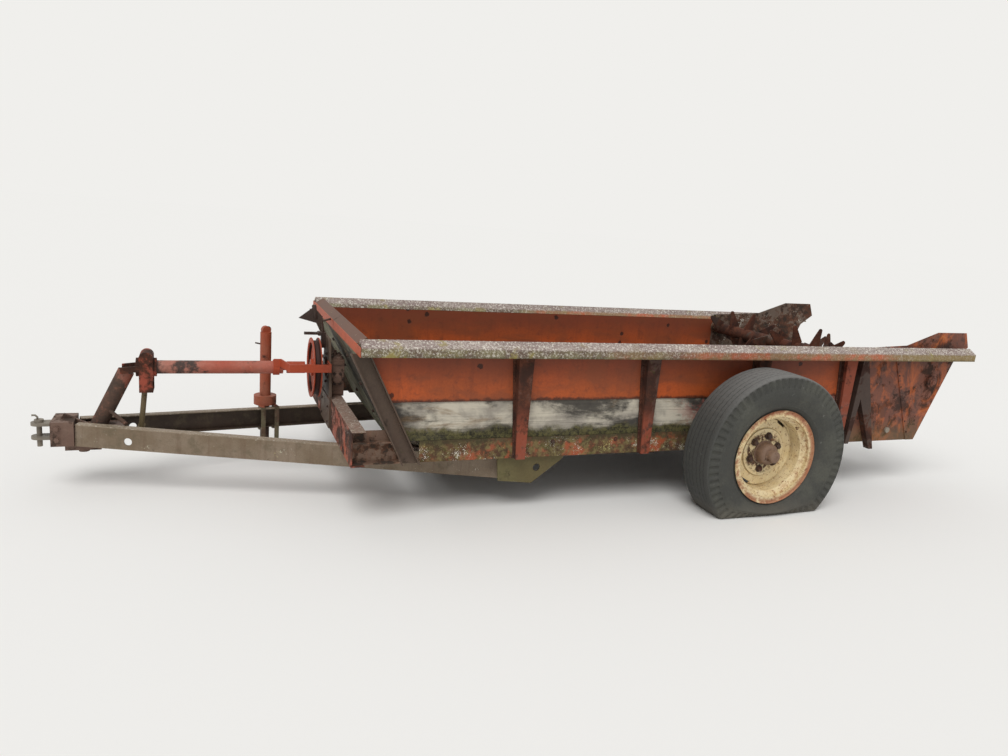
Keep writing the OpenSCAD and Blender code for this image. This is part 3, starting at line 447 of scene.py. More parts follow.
class Palette:
    """Makes the finishes of one scene from its settings."""

    def __init__(self, scene):
        self.p, self.w, self.t = scene.spreader_paint, scene.spreader_wood, scene.spreader_tyres
        self.groups = {g.name: g
                       for g in (make_worn_paint(), make_growth(), make_old_wood(), make_height_band())}
        self.lichen, self.moss = tuple(self.p.lichen), tuple(self.p.moss)

    def worn(self, f, paint, faded, amount, streaks=0.2, rust=None, dark=None, scale=1.0):
        return f.group("worn_paint", Paint=paint, Faded=faded, Rust=rust or tuple(self.p.rust),
                       Dark=dark or tuple(self.p.dark_rust), Rust_Amount=amount, Streaks=streaks,
                       Scale=scale)

    def grown(self, f, colour, lichen_amount, moss_amount, spots=60.0):
        return f.group("growth", Color=colour, Lichen=self.lichen, Moss=self.moss,
                       Lichen_Amount=lichen_amount, Moss_Amount=moss_amount, Spot_Scale=spots)

    def painted(self, name, paint, faded, amount, streaks=0.2, rust=None, dark=None, lichen_amount=0.0,
                moss_amount=0.0, scale=1.0):
        """A weathered painted steel, with growth on it if asked."""
        f = Finish(name, self.groups)
        worn = self.worn(f, tone(paint), tone(faded), amount, streaks, rust and tone(rust),
                         dark and tone(dark), scale)
        colour, height = worn["Color"], worn["Height"]
        if lichen_amount or moss_amount:
            grown = self.grown(f, colour, lichen_amount, moss_amount)
            colour = grown["Color"]
            height = f.n.times_plus(grown["Height"], 0.8, height)
        return f.finish(colour, worn["Roughness"], height)

    def sheet(self):
        """Side sheets: orange low down, painted shade under the rail, with rust holes and a dirty lower
        edge.
        """
        f = Finish("faded_orange_sheet", self.groups)
        n, p = f.n, self.p
        worn = self.worn(f, tuple(p.orange), tone("#a85228"), 0.18, 0.55, tone("#7a3c24"))
        # Painted shade from the overhang of the rail caps, darkening the top of the sheet
        shade = f.band(0.66, 0.88, 0.045, 4.0)
        colour = n.blend(n.times(shade, 0.80), worn["Color"], tuple(p.painted_shade))
        broad = n.ramp(n.noise(n.stretch(f.object, (1.0, 1.0, 2.2)), 2.6, 5, 0.6, 0.4), 0.44, 0.62, 0.0,
                       0.65)
        colour = n.blend(broad, colour, tone("#7f442b"))
        mottle = f.patches((15.0, 8, 0.74), 0.52, 0.66, 0.0, 0.50)
        colour = n.blend(mottle, colour, tone("#6e3a27"))
        edge = n.flip(f.band(BOARD_TOP + 0.003, BOARD_TOP + 0.022, 0.014, 16.0))
        colour = n.blend(n.times(edge, 0.85), colour, tone("#38221a"))
        flat = n.add("ShaderNodeCombineXYZ")
        n.put(flat.inputs[0], f.axis(0))
        n.put(flat.inputs[1], f.axis(2))
        holes = n.add("ShaderNodeTexVoronoi", feature="F1", voronoi_dimensions="2D")
        n.put(holes.inputs["Vector"], flat.outputs[0])
        n.put(holes.inputs["Scale"], 7.0)
        shake = n.times_plus(n.minus(n.noise(f.object, 45.0, 6, 0.75), 0.5), 0.34, holes.outputs["Distance"])
        hole = n.times(n.ramp(shake, 0.085, 0.125, 1.0, 0.0),
                       n.ramp(n.axis(holes.outputs["Color"], 0), 0.58, 0.60))
        colour = n.blend(n.times(hole, 0.85), colour, tone("#2a1a15"))
        return f.finish(colour, worn["Roughness"], n.minus(worn["Height"], hole), 0.002)

    def rail(self):
        """Rail caps: chalked paint with fine lichen on the slope, an orange and yellow-green lip."""
        f = Finish("rail_cap", self.groups)
        n, p = f.n, self.p
        worn = self.worn(f, tuple(p.chalk), tone("#8d7b76"), 0.26, 0.2, tone("#75594c"), tone("#5d5149"),
                         2.0)
        length = n.times_plus(n.minus(n.noise(f.object, 1.6, 4, 0.6), 0.5), 2.6, f.axis(0))
        lip = n.flip(f.band(LIP_Z + 0.036, LIP_Z + 0.050, 0.004, 30.0))
        front = n.blend(f.patches((7.0, 6, 0.7), 0.40, 0.58), tone("#77704f"), tone("#5c4a3c"))
        orange = n.blend(f.patches((6.0, 6, 0.7), 0.40, 0.56), tone("#b4582f"), tone("#8f6c45"))
        back = n.blend(n.ramp(length, 1.7, 2.4), orange, tone("#857043"))
        under = n.blend(n.ramp(length, -0.1, 1.0), front, back)
        golden = n.times(f.patches((5.0, 6, 0.7), 0.54, 0.62, 0.0, 0.6), n.ramp(length, -0.6, 0.0, 1.0, 0.2))
        colour = n.blend(n.times(lip, 0.85), worn["Color"], under)
        worn_lip = n.times(lip, n.ramp(length, -0.3, 0.8, 0.0, 0.7))
        specks = n.times(f.patches((85.0, 5, 0.8), 0.515, 0.585, 0.0, 0.85), n.flip(worn_lip))
        colour = n.blend(specks, colour, tone("#e2dccf"))
        pits = f.patches((70.0, 5, 0.8), 0.38, 0.47, 0.65, 0.0)
        colour = n.blend(pits, colour, tone("#5d5245"))
        grown = self.grown(f, colour, 0.62, 0.14, 95.0)
        edge = n.flip(f.band(LIP_Z - 0.002, LIP_Z + 0.016, 0.010, 18.0))
        colour = n.blend(n.times(edge, 0.8), grown["Color"], tone("#3f3a22"))
        calm = n.blend(n.times(lip, 0.40), colour, n.blend(0.35, under, colour))
        calm = n.blend(golden, calm, tone("#978a45"))
        return f.finish(calm, worn["Roughness"], n.times_plus(grown["Height"], 1.2, worn["Height"]), 0.003)

    def sill(self):
        """Sills: mottled orange, brown and olive with fine lichen, mossy along the top."""
        f = Finish("sill_paint", self.groups)
        n = f.n
        worn = self.worn(f, tone("#a4502f"), tone("#80503a"), 0.62, 0.4, tone("#6e4a35"), tone("#4d3b2c"),
                         1.6)
        mottle = n.noise(f.object, 26.0, 8, 0.75)
        colour = n.blend(n.ramp(mottle, 0.44, 0.60, 0.0, 0.75), worn["Color"], tone("#7d7149"))
        grown = self.grown(f, colour, 0.64, 0.46, 90.0)
        green = n.times(f.band(FLOOR_Z - 0.045, FLOOR_Z - 0.005, 0.035, 12.0), 0.8)
        colour = n.blend(green, grown["Color"], tone("#3f3a28"))
        return f.finish(colour, worn["Roughness"], n.plus(grown["Height"], worn["Height"]), 0.003)

    def stake(self):
        """Stakes: dark rust above, old red paint left on the lower front."""
        f = Finish("stake_rust", self.groups)
        n = f.n
        worn = self.worn(f, tone("#49332b"), tone("#583c31"), 0.60, 0.5)
        lower = n.flip(f.band(0.42, 0.66, 0.06, 6.0))
        out = n.ramp(n.math("ABSOLUTE", f.axis(1)), BOX_Y + 0.024, BOX_Y + 0.030)
        lower = n.math("MAXIMUM", lower, n.times(n.ramp(f.axis(0), *PAINTED_STAKE_X), 0.9))
        left = n.times(n.times(lower, out), f.patches((16.0, 6, 0.7), 0.36, 0.50))
        colour = n.blend(n.times(left, 0.9), worn["Color"], tone("#8f4a36"))
        grown = self.grown(f, colour, 0.30, 0.36)
        return f.finish(grown["Color"], worn["Roughness"], worn["Height"], 0.002)

    def boards(self, name, pale, grey, stain_amount, along, moss_from, moss_to, moss_share=0.9,
               paint_left=0.0):
        """Bare boards with black stain and a ragged mossy lower edge, some with paint left on."""
        f = Finish(name, self.groups)
        n = f.n
        wood = f.group("old_wood", Pale=pale, Grey=grey, Stain=tuple(self.w.stain),
                       Stain_Amount=stain_amount, Along=along)
        colour = wood["Color"]
        brown = n.ramp(n.noise(n.stretch(f.object, (1.0, 1.0, 3.0)), 3.4, 6, 0.65, 1.0), 0.52, 0.66, 0.0,
                       0.5)
        colour = n.blend(brown, colour, tone("#7a6144"))
        if paint_left:
            where = n.ramp(f.axis(0), *PAINTED_BOARD_X)
            left = n.times(where, f.patches((8.0, 7, 0.72, 0.6), 0.46, 0.56, 0.0, paint_left))
            colour = n.blend(left, colour, tone("#a5645a"))
        lower = n.flip(f.band(moss_from, moss_to, 0.035, 7.0))
        green = n.blend(f.patches((48.0, 7, 0.78), 0.38, 0.60), tone("#26241b"), tone("#5d5836"))
        colour = n.blend(n.times(lower, moss_share), colour, green)
        height = n.plus(wood["Height"], n.times(lower, n.noise(f.object, 90.0, 5, 0.75)))
        return f.finish(colour, wood["Roughness"], height, 0.003, 0.7, 0.2)

    def plate(self):
        """Rear plates: purple-brown rust with orange flames, painted shade under the rail, mossy at the
        foot.
        """
        f = Finish("rear_plate_rust", self.groups)
        n = f.n
        worn = self.worn(f, tone("#6c4235"), tone("#7b4c3c"), 0.46, 0.7, tone("#6b3f2e"), tone("#3b2a22"),
                         1.3)
        flame = n.noise(n.stretch(f.object, (3.4, 3.4, 2.0), (0.6, 0.0, 0.2)), 1.9, 7, 0.66, 0.7)
        colour = n.blend(n.ramp(flame, 0.48, 0.62, 0.0, 0.85), worn["Color"], tone("#ad5c34"))
        colour = n.blend(n.ramp(flame, 0.60, 0.70, 0.0, 0.6), colour, tone("#b87440"))
        dark = f.patches((9.0, 7, 0.7), 0.48, 0.60, 0.0, 0.75)
        colour = n.blend(dark, colour, tone("#43302a"))
        grown = self.grown(f, colour, 0.22, 0.12)
        # Painted shade: the plate darkened under the overhang of the rail
        top = n.times(f.band(0.80, 0.90, 0.03, 8.0), n.flip(f.band(0.93, 0.94, 0.0)))
        colour = n.blend(n.times(top, 0.6), grown["Color"], tone("#35241e"))
        foot = n.times(n.flip(f.band(0.34, 0.48, 0.05, 9.0)), 0.45)
        colour = n.blend(foot, colour, tone("#6b5c3c"))
        return f.finish(colour, worn["Roughness"], worn["Height"], 0.003)

    def bolster(self):
        """Front bolster: orange front, chalky pink-grey lichened top."""
        f = Finish("bolster_paint", self.groups)
        n = f.n
        worn = self.worn(f, tone("#a95136"), tone("#96594a"), 0.60, 0.5, tone("#6d4a3b"), scale=1.5)
        top = f.band(*BOLSTER_EDGE_Z, 0.0006, 30.0)
        specks = f.patches((80.0, 5, 0.8), 0.52, 0.62, 0.0, 0.6)
        chalky = n.blend(specks, tone("#907a6c"), tone("#d3cbbd"))
        colour = n.blend(n.times(top, 0.85), worn["Color"], chalky)
        grown = self.grown(f, colour, 0.62, 0.20)
        colour = n.blend(n.times(n.flip(top), 0.5), grown["Color"], worn["Color"])
        return f.finish(colour, worn["Roughness"], worn["Height"], 0.002)

    def front_rail(self):
        """Front rail: red on its front strip, dark and mossy on the cap behind it."""
        f = Finish("front_rail_paint", self.groups)
        n = f.n
        worn = self.worn(f, tone("#b9552f"), tone("#a44f35"), 0.34, 0.3)
        behind = n.ramp(f.axis(0), *FRONT_STRIP_X)
        colour = n.blend(n.times(behind, 0.85), worn["Color"], tone("#4b4034"))
        grown = self.grown(f, colour, 0.46, 0.34)
        colour = n.blend(n.times(n.flip(behind), 0.7), grown["Color"], worn["Color"])
        return f.finish(colour, worn["Roughness"], worn["Height"], 0.002)

    def beam(self, name, paint, faded, rust, dark, lichen):
        """Drawbar channels, with a pale lichened top flange."""
        f = Finish(name, self.groups)
        n = f.n
        worn = self.worn(f, tone(paint), tone(faded), 0.26, 0.5, tone(rust), tone(dark), 2.2)
        fallen = n.times_plus(n.minus(f.axis(0), BEAM_START), BEAM_FALL, f.axis(2))
        top = n.ramp(fallen, BEAM_TOP - 0.006, BEAM_TOP - 0.003)
        colour = n.blend(n.times(top, 0.85), worn["Color"], tone("#91826f"))
        grown = self.grown(f, colour, lichen, 0.26)
        specks = n.times(top, f.patches((80.0, 5, 0.8), 0.54, 0.64, 0.0, 0.7))
        colour = n.blend(specks, grown["Color"], tone("#d3cbbd"))
        stains = f.patches((11.0, 8, 0.75), 0.50, 0.66, 0.0, 0.55)
        colour = n.blend(stains, colour, tone("#5d5441"))
        return f.finish(colour, worn["Roughness"], n.times_plus(grown["Height"], 0.8, worn["Height"]), 0.002)

    def sheave(self):
        """Driveline: orange sheave with a black groove, orange shaft."""
        f = Finish("sheave_orange", self.groups)
        n = f.n
        worn = self.worn(f, tone("#b04a2c"), tone("#9c4a34"), 0.40, 0.1)
        radius = f.radius((1, 0.0), (2, DRIVE_Z))
        across = n.gap(f.axis(0), SHEAVE_X)
        groove = n.times(n.ramp(across, 0.014, 0.018, 1.0, 0.0), n.ramp(radius, 0.128, 0.134))
        grown = self.grown(f, worn["Color"], 0.08, 0.0)
        colour = n.blend(n.times(groove, 0.92), grown["Color"], tone("#1d1917"))
        return f.finish(colour, worn["Roughness"], worn["Height"], 0.002)

    def jack(self):
        """Jack: orange tube and flange, held by grey-green straps."""
        f = Finish("jack_orange", self.groups)
        n = f.n
        worn = self.worn(f, tone("#a34e33"), tone("#99604a"), 0.48, 0.3, tone("#6e4232"))
        radius = f.radius((0, JACK.x), (1, JACK.y))
        patch = f.patches((14.0, 6, 0.7), 0.42, 0.58)
        strap = n.blend(patch, tone("#6f6a54"), tone("#574a3c"))
        below = n.flip(n.ramp(f.axis(2), *STRAP_TOP_Z))
        colour = n.blend(n.times(n.times(n.ramp(radius, 0.0340, 0.0355), below), 0.9), worn["Color"], strap)
        grown = self.grown(f, colour, 0.22, 0.10)
        return f.finish(grown["Color"], worn["Roughness"], worn["Height"], 0.002)

    def cream(self):
        """Wheels: cream paint, rusty round the bolts, at the joint of the disc and along the flange."""
        f = Finish("wheel_cream", self.groups)
        n = f.n
        worn = self.worn(f, tuple(self.p.cream), tone("#e0c998"), 0.30, 0.15, tone("#94603c"),
                         tone("#5a3524"), 3.0)
        radius = f.radius((0, AXLE_X), (2, AXLE_Z))
        patch = n.noise(f.object, 22.0, 7, 0.7)
        near_bolts = n.times(n.ramp(n.gap(radius, 0.098), 0.016, 0.040, 1.0, 0.0), n.ramp(patch, 0.44, 0.54))
        joint = n.ramp(n.gap(radius, DISC_JOINT), 0.0, 0.006, 0.85, 0.0)
        ring = n.ramp(n.gap(radius, DISC_RING), 0.0, 0.004, 0.60, 0.0)
        forward = n.times_plus(n.minus(f.axis(0), AXLE_X), 0.35, patch)
        lip = n.times(n.ramp(radius, 0.250, 0.272), n.ramp(forward, 0.34, 0.50))
        colour = n.blend(n.most(near_bolts, joint, ring), worn["Color"], tone("#4b3022"))
        ledge = n.times(n.ramp(radius, 0.212, 0.250), f.patches((34.0, 7, 0.75), 0.48, 0.60, 0.0, 0.65))
        colour = n.blend(ledge, colour, tone("#a06a45"))
        colour = n.blend(n.times(lip, 0.85), colour, tone("#9a5c42"))
        specks = f.patches((60.0, 5, 0.75), 0.56, 0.63, 0.0, 0.85)
        colour = n.blend(specks, colour, tone("#7e4a30"))
        dirt = f.patches((6.0, 6, 0.6), 0.46, 0.74, 0.0, 0.22)
        return f.finish(n.blend(dirt, colour, tone("#a3875c")), worn["Roughness"], worn["Height"], 0.0015)

    def rubber(self):
        """Tyres: dull rubber, bleached and with a painted highlight on the upper tread and shoulder, dusted
        with dirt near the ground.
        """
        f = Finish("old_rubber", self.groups)
        n, t = f.n, self.t
        radius = f.radius((0, AXLE_X), (2, AXLE_Z))
        cloud = n.noise(f.object, 5.0, 7, 0.62)
        fine = n.noise(f.object, 90.0, 5, 0.7)
        side = n.blend(n.ramp(cloud, 0.40, 0.66, 0.0, 0.7), tuple(t.rubber), tone("#585850"))
        # Sun-bleaching and painted highlight: the tread is made lighter towards the top of the tyre
        tread_bleach_and_highlight = n.blend(f.band(0.50, 0.96, 0.02, 5.0), tone("#464643"), tuple(t.bleached_and_lit))
        colour = n.blend(n.ramp(radius, 0.474, 0.492, 0.0, 0.9), side, tread_bleach_and_highlight)
        across = n.gap(n.math("ABSOLUTE", f.axis(1)), WHEEL_Y)
        across = n.times_plus(n.minus(n.noise(f.object, 70.0, 2, 0.5), 0.5), 0.010, across)
        lines = [n.ramp(n.gap(across, w), 0.0012, 0.0034, 1.0, 0.0) for w in TREAD_LINES]
        grooves = n.most(*lines)
        grooves = n.times(n.times(grooves, n.ramp(radius, 0.480, 0.486)), 0.6)
        colour = n.blend(grooves, colour, tone("#1f1f1e"))
        colour = n.blend(n.ramp(fine, 0.44, 0.74, 0.0, 0.32), colour, tone("#232324"))
        scuffs = f.patches((26.0, 7, 0.75), 0.60, 0.72, 0.0, 0.40)
        colour = n.blend(scuffs, colour, tone("#84837e"))
        low_dirt = n.times(n.flip(f.band(0.0, 0.12, 0.03, 9.0)), 0.40)
        colour = n.blend(low_dirt, colour, tuple(t.dirt))
        height = n.plus(fine, n.noise(f.object, 170.0, 3, 0.6))
        return f.finish(colour, n.ramp(cloud, 0.3, 0.7, 0.68, 0.88), height, 0.0008, 0.5, 0.3)


def make_finishes(scene):
    a = Palette(scene)
    w = a.w
    plain = a.painted
    return {
        "sheet": a.sheet(),
        "rail": a.rail(),
        "sill": a.sill(),
        "stake": a.stake(),
        "plate": a.plate(),
        "cream": a.cream(),
        "rubber": a.rubber(),
        "boards": a.boards("weathered_boards", tuple(w.pale), tuple(w.grey), 0.71, (0.9, 22.0, 22.0),
                           FLOOR_Z + 0.030, FLOOR_Z + 0.072, 0.95, 0.7),
        "front_planks": a.boards("front_planks", tone("#8a8773"), tone("#666552"), 0.66, (22.0, 0.9, 22.0),
                                 SILL_Z + 0.02, SILL_Z + 0.12, 0.7),
        "floor": a.boards("floor_planks", tone("#7d7266"), tone("#564c42"), 0.72, (0.9, 22.0, 22.0), 0.0,
                          0.1),
        "bolster": a.bolster(),
        "front_rail": a.front_rail(),
        "shield": plain("shield_red", "#ab5440", "#ad7868", 0.50, 0.1, "#6b5048", "#4d403b",
                        lichen_amount=0.45),
        "bracket": plain("bracket_red", "#ad452b", "#9b4936", 0.42, 0.1, lichen_amount=0.14),
        "sheave": a.sheave(),
        "guard": plain("guard_orange", "#b04a2c", "#9c4a34", 0.40, 0.1, lichen_amount=0.08),
        "post": plain("rust_red_post", "#8a4938", "#8f6454", 0.62, 0.4, "#63493c", "#4a3c34",
                      lichen_amount=0.34, scale=1.8),
        "corner": plain("corner_rust", "#55453a", "#655546", 0.50, 0.4, "#5a4233", "#3a3028",
                        lichen_amount=0.30, moss_amount=0.34),
        "bracket_end": plain("bracket_end_rust", "#6a5244", "#85705e", 0.60, 0.4, "#7a4c34", "#3d332b",
                             lichen_amount=0.40, moss_amount=0.3, scale=2.0),
        "drawbar": a.beam("drawbar_steel", "#7a6955", "#8c7c6a", "#6a5241", "#4d4135", 0.50),
        # Painted shade: darker copies of the drawbar colours stand in for the shade inside the far channel
        "shaded_far_drawbar": a.beam("drawbar_shaded", "#42362d", "#4f4136", "#3b2e26", "#2a221c", 0.16),
        "gusset": plain("gusset_steel", "#675c3c", "#6b6442", 0.40, 0.3, "#5c4833", "#443b2a",
                        lichen_amount=0.32, moss_amount=0.40),
        "stand": plain("stand_steel", "#5f4d41", "#6b5b4b", 0.46, 0.3, "#4f3d31", "#372c24",
                       lichen_amount=0.30, moss_amount=0.30),
        "casting": plain("hitch_rust", "#6f564a", "#826b5d", 0.56, 0.2, "#5f463a", "#45372f",
                         lichen_amount=0.36, scale=2.0),
        "worn_steel": plain("worn_steel", "#7d766b", "#968c7d", 0.30, 0.2, "#6a4c3b", scale=2.0),
        "dark": plain("old_iron", "#3e312b", "#524036", 0.5, 0.2, lichen_amount=0.10),
        "gearbox": plain("gearbox_iron", "#755a4c", "#84695b", 0.46, 0.3, "#5a4433", "#3f3129",
                         lichen_amount=0.36, moss_amount=0.12, scale=2.0),
        "hub": plain("hub_rust", "#79604f", "#8a715f", 0.40, 0.1, scale=2.5),
        "rod": plain("brown_rod", "#5d5138", "#6d5f45", 0.35, 0.1, lichen_amount=0.1),
        "jack": a.jack(),
        "beater": plain("beater_rust", "#42322b", "#54402f", 0.66, 0.4, lichen_amount=0.16),
        "far_plate": plain("far_plate_rust", "#66564a", "#766456", 0.60, 0.6, "#704632", "#3b2f27",
                           lichen_amount=0.60, moss_amount=0.3, scale=2.0),
        "case": plain("case_orange", "#a9502f", "#8e4a34", 0.38, 0.6, lichen_amount=0.22, moss_amount=0.16),
    }


NODE_FINISH = {
    "drawbar": ("drawbar_left",),
    "shaded_far_drawbar": ("drawbar_right",),
    "gusset": ("drawbar_gussets",),
    "stand": ("gearbox_stand",),
    "casting": ("hitch_casting",),
    "worn_steel": ("hitch_clevis", "hitch_pin", "apron_front_shaft", "apron_rear_shaft"),
    "sheave": ("driveline_shaft",),
    "guard": ("belt_guard",),
    "post": ("shield_post",),
    "bracket": ("shield_bracket",),
    "rod": ("bracket_rod",),
    "shield": ("driveline_shield",),
    "gearbox": ("gearbox", "side_drive"),
    "dark": ("axle", "apron_chain", "control_levers", "jack_leg", "cross_members", "rear_braces"),
    "beater": ("main_beater", "upper_beater", "spreader_rotor"),
    "bolster": ("front_bolster",),
    "case": ("drive_case",),
    "corner": ("front_posts",),
    "bracket_end": ("corner_brackets",),
    "sill": ("sill_left", "sill_right"),
    "floor": ("floor_boards",),
    "sheet": ("side_sheet_left", "side_sheet_right"),
    "boards": ("side_board_left", "side_board_right"),
    "rail": ("top_rail_left", "top_rail_right"),
    "stake": ("stakes_left", "stakes_right"),
    "front_planks": ("front_wall",),
    "front_rail": ("front_rail",),
    "plate": ("rear_plate_left",),
    "far_plate": ("rear_plate_right",),
    "jack": ("jack_tube",),
    "rubber": ("tyre_left", "tyre_right"),
    "cream": ("rim_left", "rim_right"),
    "hub": ("hub_left", "hub_right"),
}


# Geometry Nodes
def geometry_tree(name, inputs):
    """A new geometry tree: a Nodes helper, its inputs and its output."""
    tree = bpy.data.node_groups.new(name, "GeometryNodeTree")
    tree.interface.new_socket(name="Geometry", in_out="INPUT", socket_type="NodeSocketGeometry")
    for label, kind, default in inputs:
        socket = tree.interface.new_socket(name=label, in_out="INPUT", socket_type=kind)
        if default is not None:
            socket.default_value = default
    tree.interface.new_socket(name="Material", in_out="INPUT", socket_type="NodeSocketMaterial")
    tree.interface.new_socket(name="Geometry", in_out="OUTPUT", socket_type="NodeSocketGeometry")
    nodes = Nodes(tree)
    return nodes, nodes.add("NodeGroupInput").outputs, nodes.add("NodeGroupOutput").inputs[0]


def close_tree(n, i, out, points, shape, rotation):
    """Put a shape on the points, make it real and give it the tree's material."""
    spread = n.made("GeometryNodeInstanceOnPoints",
                    {"Points": points, "Instance": shape, "Rotation": rotation})
    real = n.made("GeometryNodeRealizeInstances", {"Geometry": spread})
    n.put(out, n.made("GeometryNodeSetMaterial", {"Geometry": real, "Material": i["Material"]}))
    return n.tree


def facing_rotation(n, spin_steps, seed):
    """Turn each head to face outwards, with its own spin about that direction."""
    facing = n.add("GeometryNodeInputNamedAttribute", data_type="FLOAT_VECTOR")
    facing.inputs["Name"].default_value = "facing"
    aligned = n.made("FunctionNodeAlignRotationToVector", {"Vector": facing.outputs[0]}, axis="Z")
    spin = n.add("FunctionNodeRandomValue", data_type="FLOAT")
    spin.inputs[2].default_value = 0.0
    spin.inputs[3].default_value = 2 * math.pi / spin_steps
    spin.inputs["Seed"].default_value = seed
    turn = n.add("ShaderNodeCombineXYZ")
    n.put(turn.inputs[2], spin.outputs[1])
    local = n.made("FunctionNodeEulerToRotation", {"Euler": turn.outputs[0]})
    return n.made("FunctionNodeRotateRotation", {"Rotation": aligned, "Rotate By": local},
                  rotation_space="LOCAL")


def moved(n, shape, z):
    lift = n.add("ShaderNodeCombineXYZ")
    n.put(lift.inputs[2], z)
    return n.made("GeometryNodeTransform", {"Geometry": shape, "Translation": lift.outputs[0]})


def joined(n, *shapes):
    join = n.add("GeometryNodeJoinGeometry")
    for shape in shapes:
        n.tree.links.new(shape, join.inputs[0])
    return join.outputs[0]


def make_bolt_tree():
    """Hexagon heads with a chamfer and a washer, one on every point, facing its own way."""
    n, i, out = geometry_tree("bolt_heads", [("Across", FLOAT, 0.02), ("Height", FLOAT, 0.012)])
    radius = n.times(i["Across"], 0.5)
    body = n.made("GeometryNodeMeshCylinder", {"Vertices": 6, "Radius": radius,
                                               "Depth": n.times(i["Height"], 0.75)})
    top = n.made("GeometryNodeMeshCone", {"Vertices": 6, "Radius Bottom": radius,
                                          "Radius Top": n.times(radius, 0.80),
                                          "Depth": n.times(i["Height"], 0.25)})
    washer = n.made("GeometryNodeMeshCylinder", {"Vertices": 14, "Radius": n.times(radius, 1.35),
                                                 "Depth": n.times(i["Height"], 0.24)})
    head = joined(n, moved(n, body, n.times(i["Height"], 0.375)),
                  moved(n, top, n.times(i["Height"], 0.75)),
                  moved(n, washer, n.times(i["Height"], 0.12)))
    return close_tree(n, i, out, i["Geometry"], head, facing_rotation(n, 6, 3))


def make_rivet_tree():
    """Low round heads, one on every point, facing its own way."""
    n, i, out = geometry_tree("rivet_heads", [("Across", FLOAT, 0.014), ("Height", FLOAT, 0.005)])
    ball = n.made("GeometryNodeMeshUVSphere",
                  {"Segments": 12, "Rings": 6, "Radius": n.times(i["Across"], 0.5)})
    squash = n.add("ShaderNodeCombineXYZ")
    for socket, value in zip(squash.inputs,
                             (1.0, 1.0, n.math("DIVIDE", n.times(i["Height"], 2.0), i["Across"]))):
        n.put(socket, value)
    head = n.made("GeometryNodeTransform", {"Geometry": ball, "Scale": squash.outputs[0]})
    return close_tree(n, i, out, i["Geometry"], head, facing_rotation(n, 1, 5))


def make_chain_tree():
    """Flat steel links laid end to end along a path."""
    n, i, out = geometry_tree("chain_links",
                              [("Pitch", FLOAT, 0.05), ("Width", FLOAT, 0.05), ("Wire", FLOAT, 0.005)])
    path = n.made("GeometryNodeMeshToCurve", {"Mesh": i["Geometry"]})
    steps = n.made("GeometryNodeResampleCurve", {"Curve": path, "Length": i["Pitch"]}, mode="LENGTH")
    outline = n.made("GeometryNodeCurvePrimitiveQuadrilateral", {"Width": n.times(i["Pitch"], 1.02),
                                                                "Height": i["Width"]})
    soft = n.made("GeometryNodeFilletCurve",
                  {"Curve": outline, "Count": 3, "Radius": n.times(i["Wire"], 1.6)}, mode="POLY")
    ring = n.made("GeometryNodeCurvePrimitiveCircle", {"Resolution": 6, "Radius": i["Wire"]})
    link = n.made("GeometryNodeCurveToMesh", {"Curve": soft, "Profile Curve": ring, "Fill Caps": True})
    along = n.made("FunctionNodeAlignRotationToVector",
                   {"Vector": n.add("GeometryNodeInputTangent").outputs[0]}, axis="X")
    level = n.made("FunctionNodeAlignRotationToVector", {"Rotation": along, "Vector": (0.0, 1.0, 0.0)},
                   axis="Y", pivot_axis="X")
    return close_tree(n, i, out, steps, link, level)


def make_weld_tree():
    """A rippled weld bead along a path."""
    n, i, out = geometry_tree("weld_beads", [("Bead", FLOAT, 0.005), ("Ripple", FLOAT, 0.006)])
    path = n.made("GeometryNodeMeshToCurve", {"Mesh": i["Geometry"]})
    steps = n.made("GeometryNodeResampleCurve", {"Curve": path, "Length": i["Ripple"]}, mode="LENGTH")
    ball = n.made("GeometryNodeMeshIcoSphere", {"Radius": i["Bead"], "Subdivisions": 2})
    along = n.made("FunctionNodeAlignRotationToVector",
                   {"Vector": n.add("GeometryNodeInputTangent").outputs[0]}, axis="X")
    return close_tree(n, i, out, steps, ball, along)


def keep(name, mesh, body):
    """Link a finished mesh as a piece that rides on a body."""
    obj = bpy.data.objects.new(name, mesh)
    bpy.context.scene.collection.objects.link(obj)
    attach(obj, body)
    return obj


def grown_piece(name, mesh, tree, values, body):
    """Run a geometry tree over a source mesh and keep the result as one plain piece."""
    source = bpy.data.objects.new(name + "_source", mesh)
    bpy.context.scene.collection.objects.link(source)
    modifier = source.modifiers.new("shape", "NODES")
    modifier.node_group = tree
    for item in tree.interface.items_tree:
        if item.in_out == "INPUT" and item.name in values:
            modifier[item.identifier] = values[item.name]
    result = bpy.data.meshes.new_from_object(source.evaluated_get(bpy.context.evaluated_depsgraph_get()))
    bpy.data.objects.remove(source)
    result.name = name
    if not result.polygons:
        raise RuntimeError(name + " came out empty")
    return keep(name, result, body)


def head_piece(name, tree, heads, across, height, finish, body):
    """A piece of bolt or rivet heads, one on each (place, facing)."""
    values = {"Across": across, "Height": height, "Material": Shop.finishes[finish]}
    return grown_piece(name, point_mesh(name + "_points", heads), Shop.trees[tree], values, body)


def solid_piece(name, parts, finish, body, sharp=None):
    """A piece of several (points, faces), with edges kept sharp above an angle in degrees."""
    mesh = solid_mesh(name, *merge(parts), Shop.finishes[finish])
    if sharp:
        mesh.set_sharp_from_angle(angle=math.radians(sharp))
    return keep(name, mesh, body)


def point_mesh(name, heads):
    """A mesh of loose points, each with the direction it faces: heads are (place, facing)."""
    mesh = bpy.data.meshes.new(name)
    mesh.from_pydata([tuple(place) for place, _ in heads], [], [])
    facing = mesh.attributes.new("facing", "FLOAT_VECTOR", "POINT")
    for item, (_, way) in zip(facing.data, heads):
        item.vector = Vector(way).normalized()
    return mesh


def path_mesh(name, paths, closed=False):
    mesh = bpy.data.meshes.new(name)
    points, edges = [], []
    for path in paths:
        start = len(points)
        points += [tuple(p) for p in path]
        edges += [(start + k, start + k + 1) for k in range(len(path) - 1)]
        if closed:
            edges.append((start + len(path) - 1, start))
    mesh.from_pydata(points, edges, [])
    return mesh


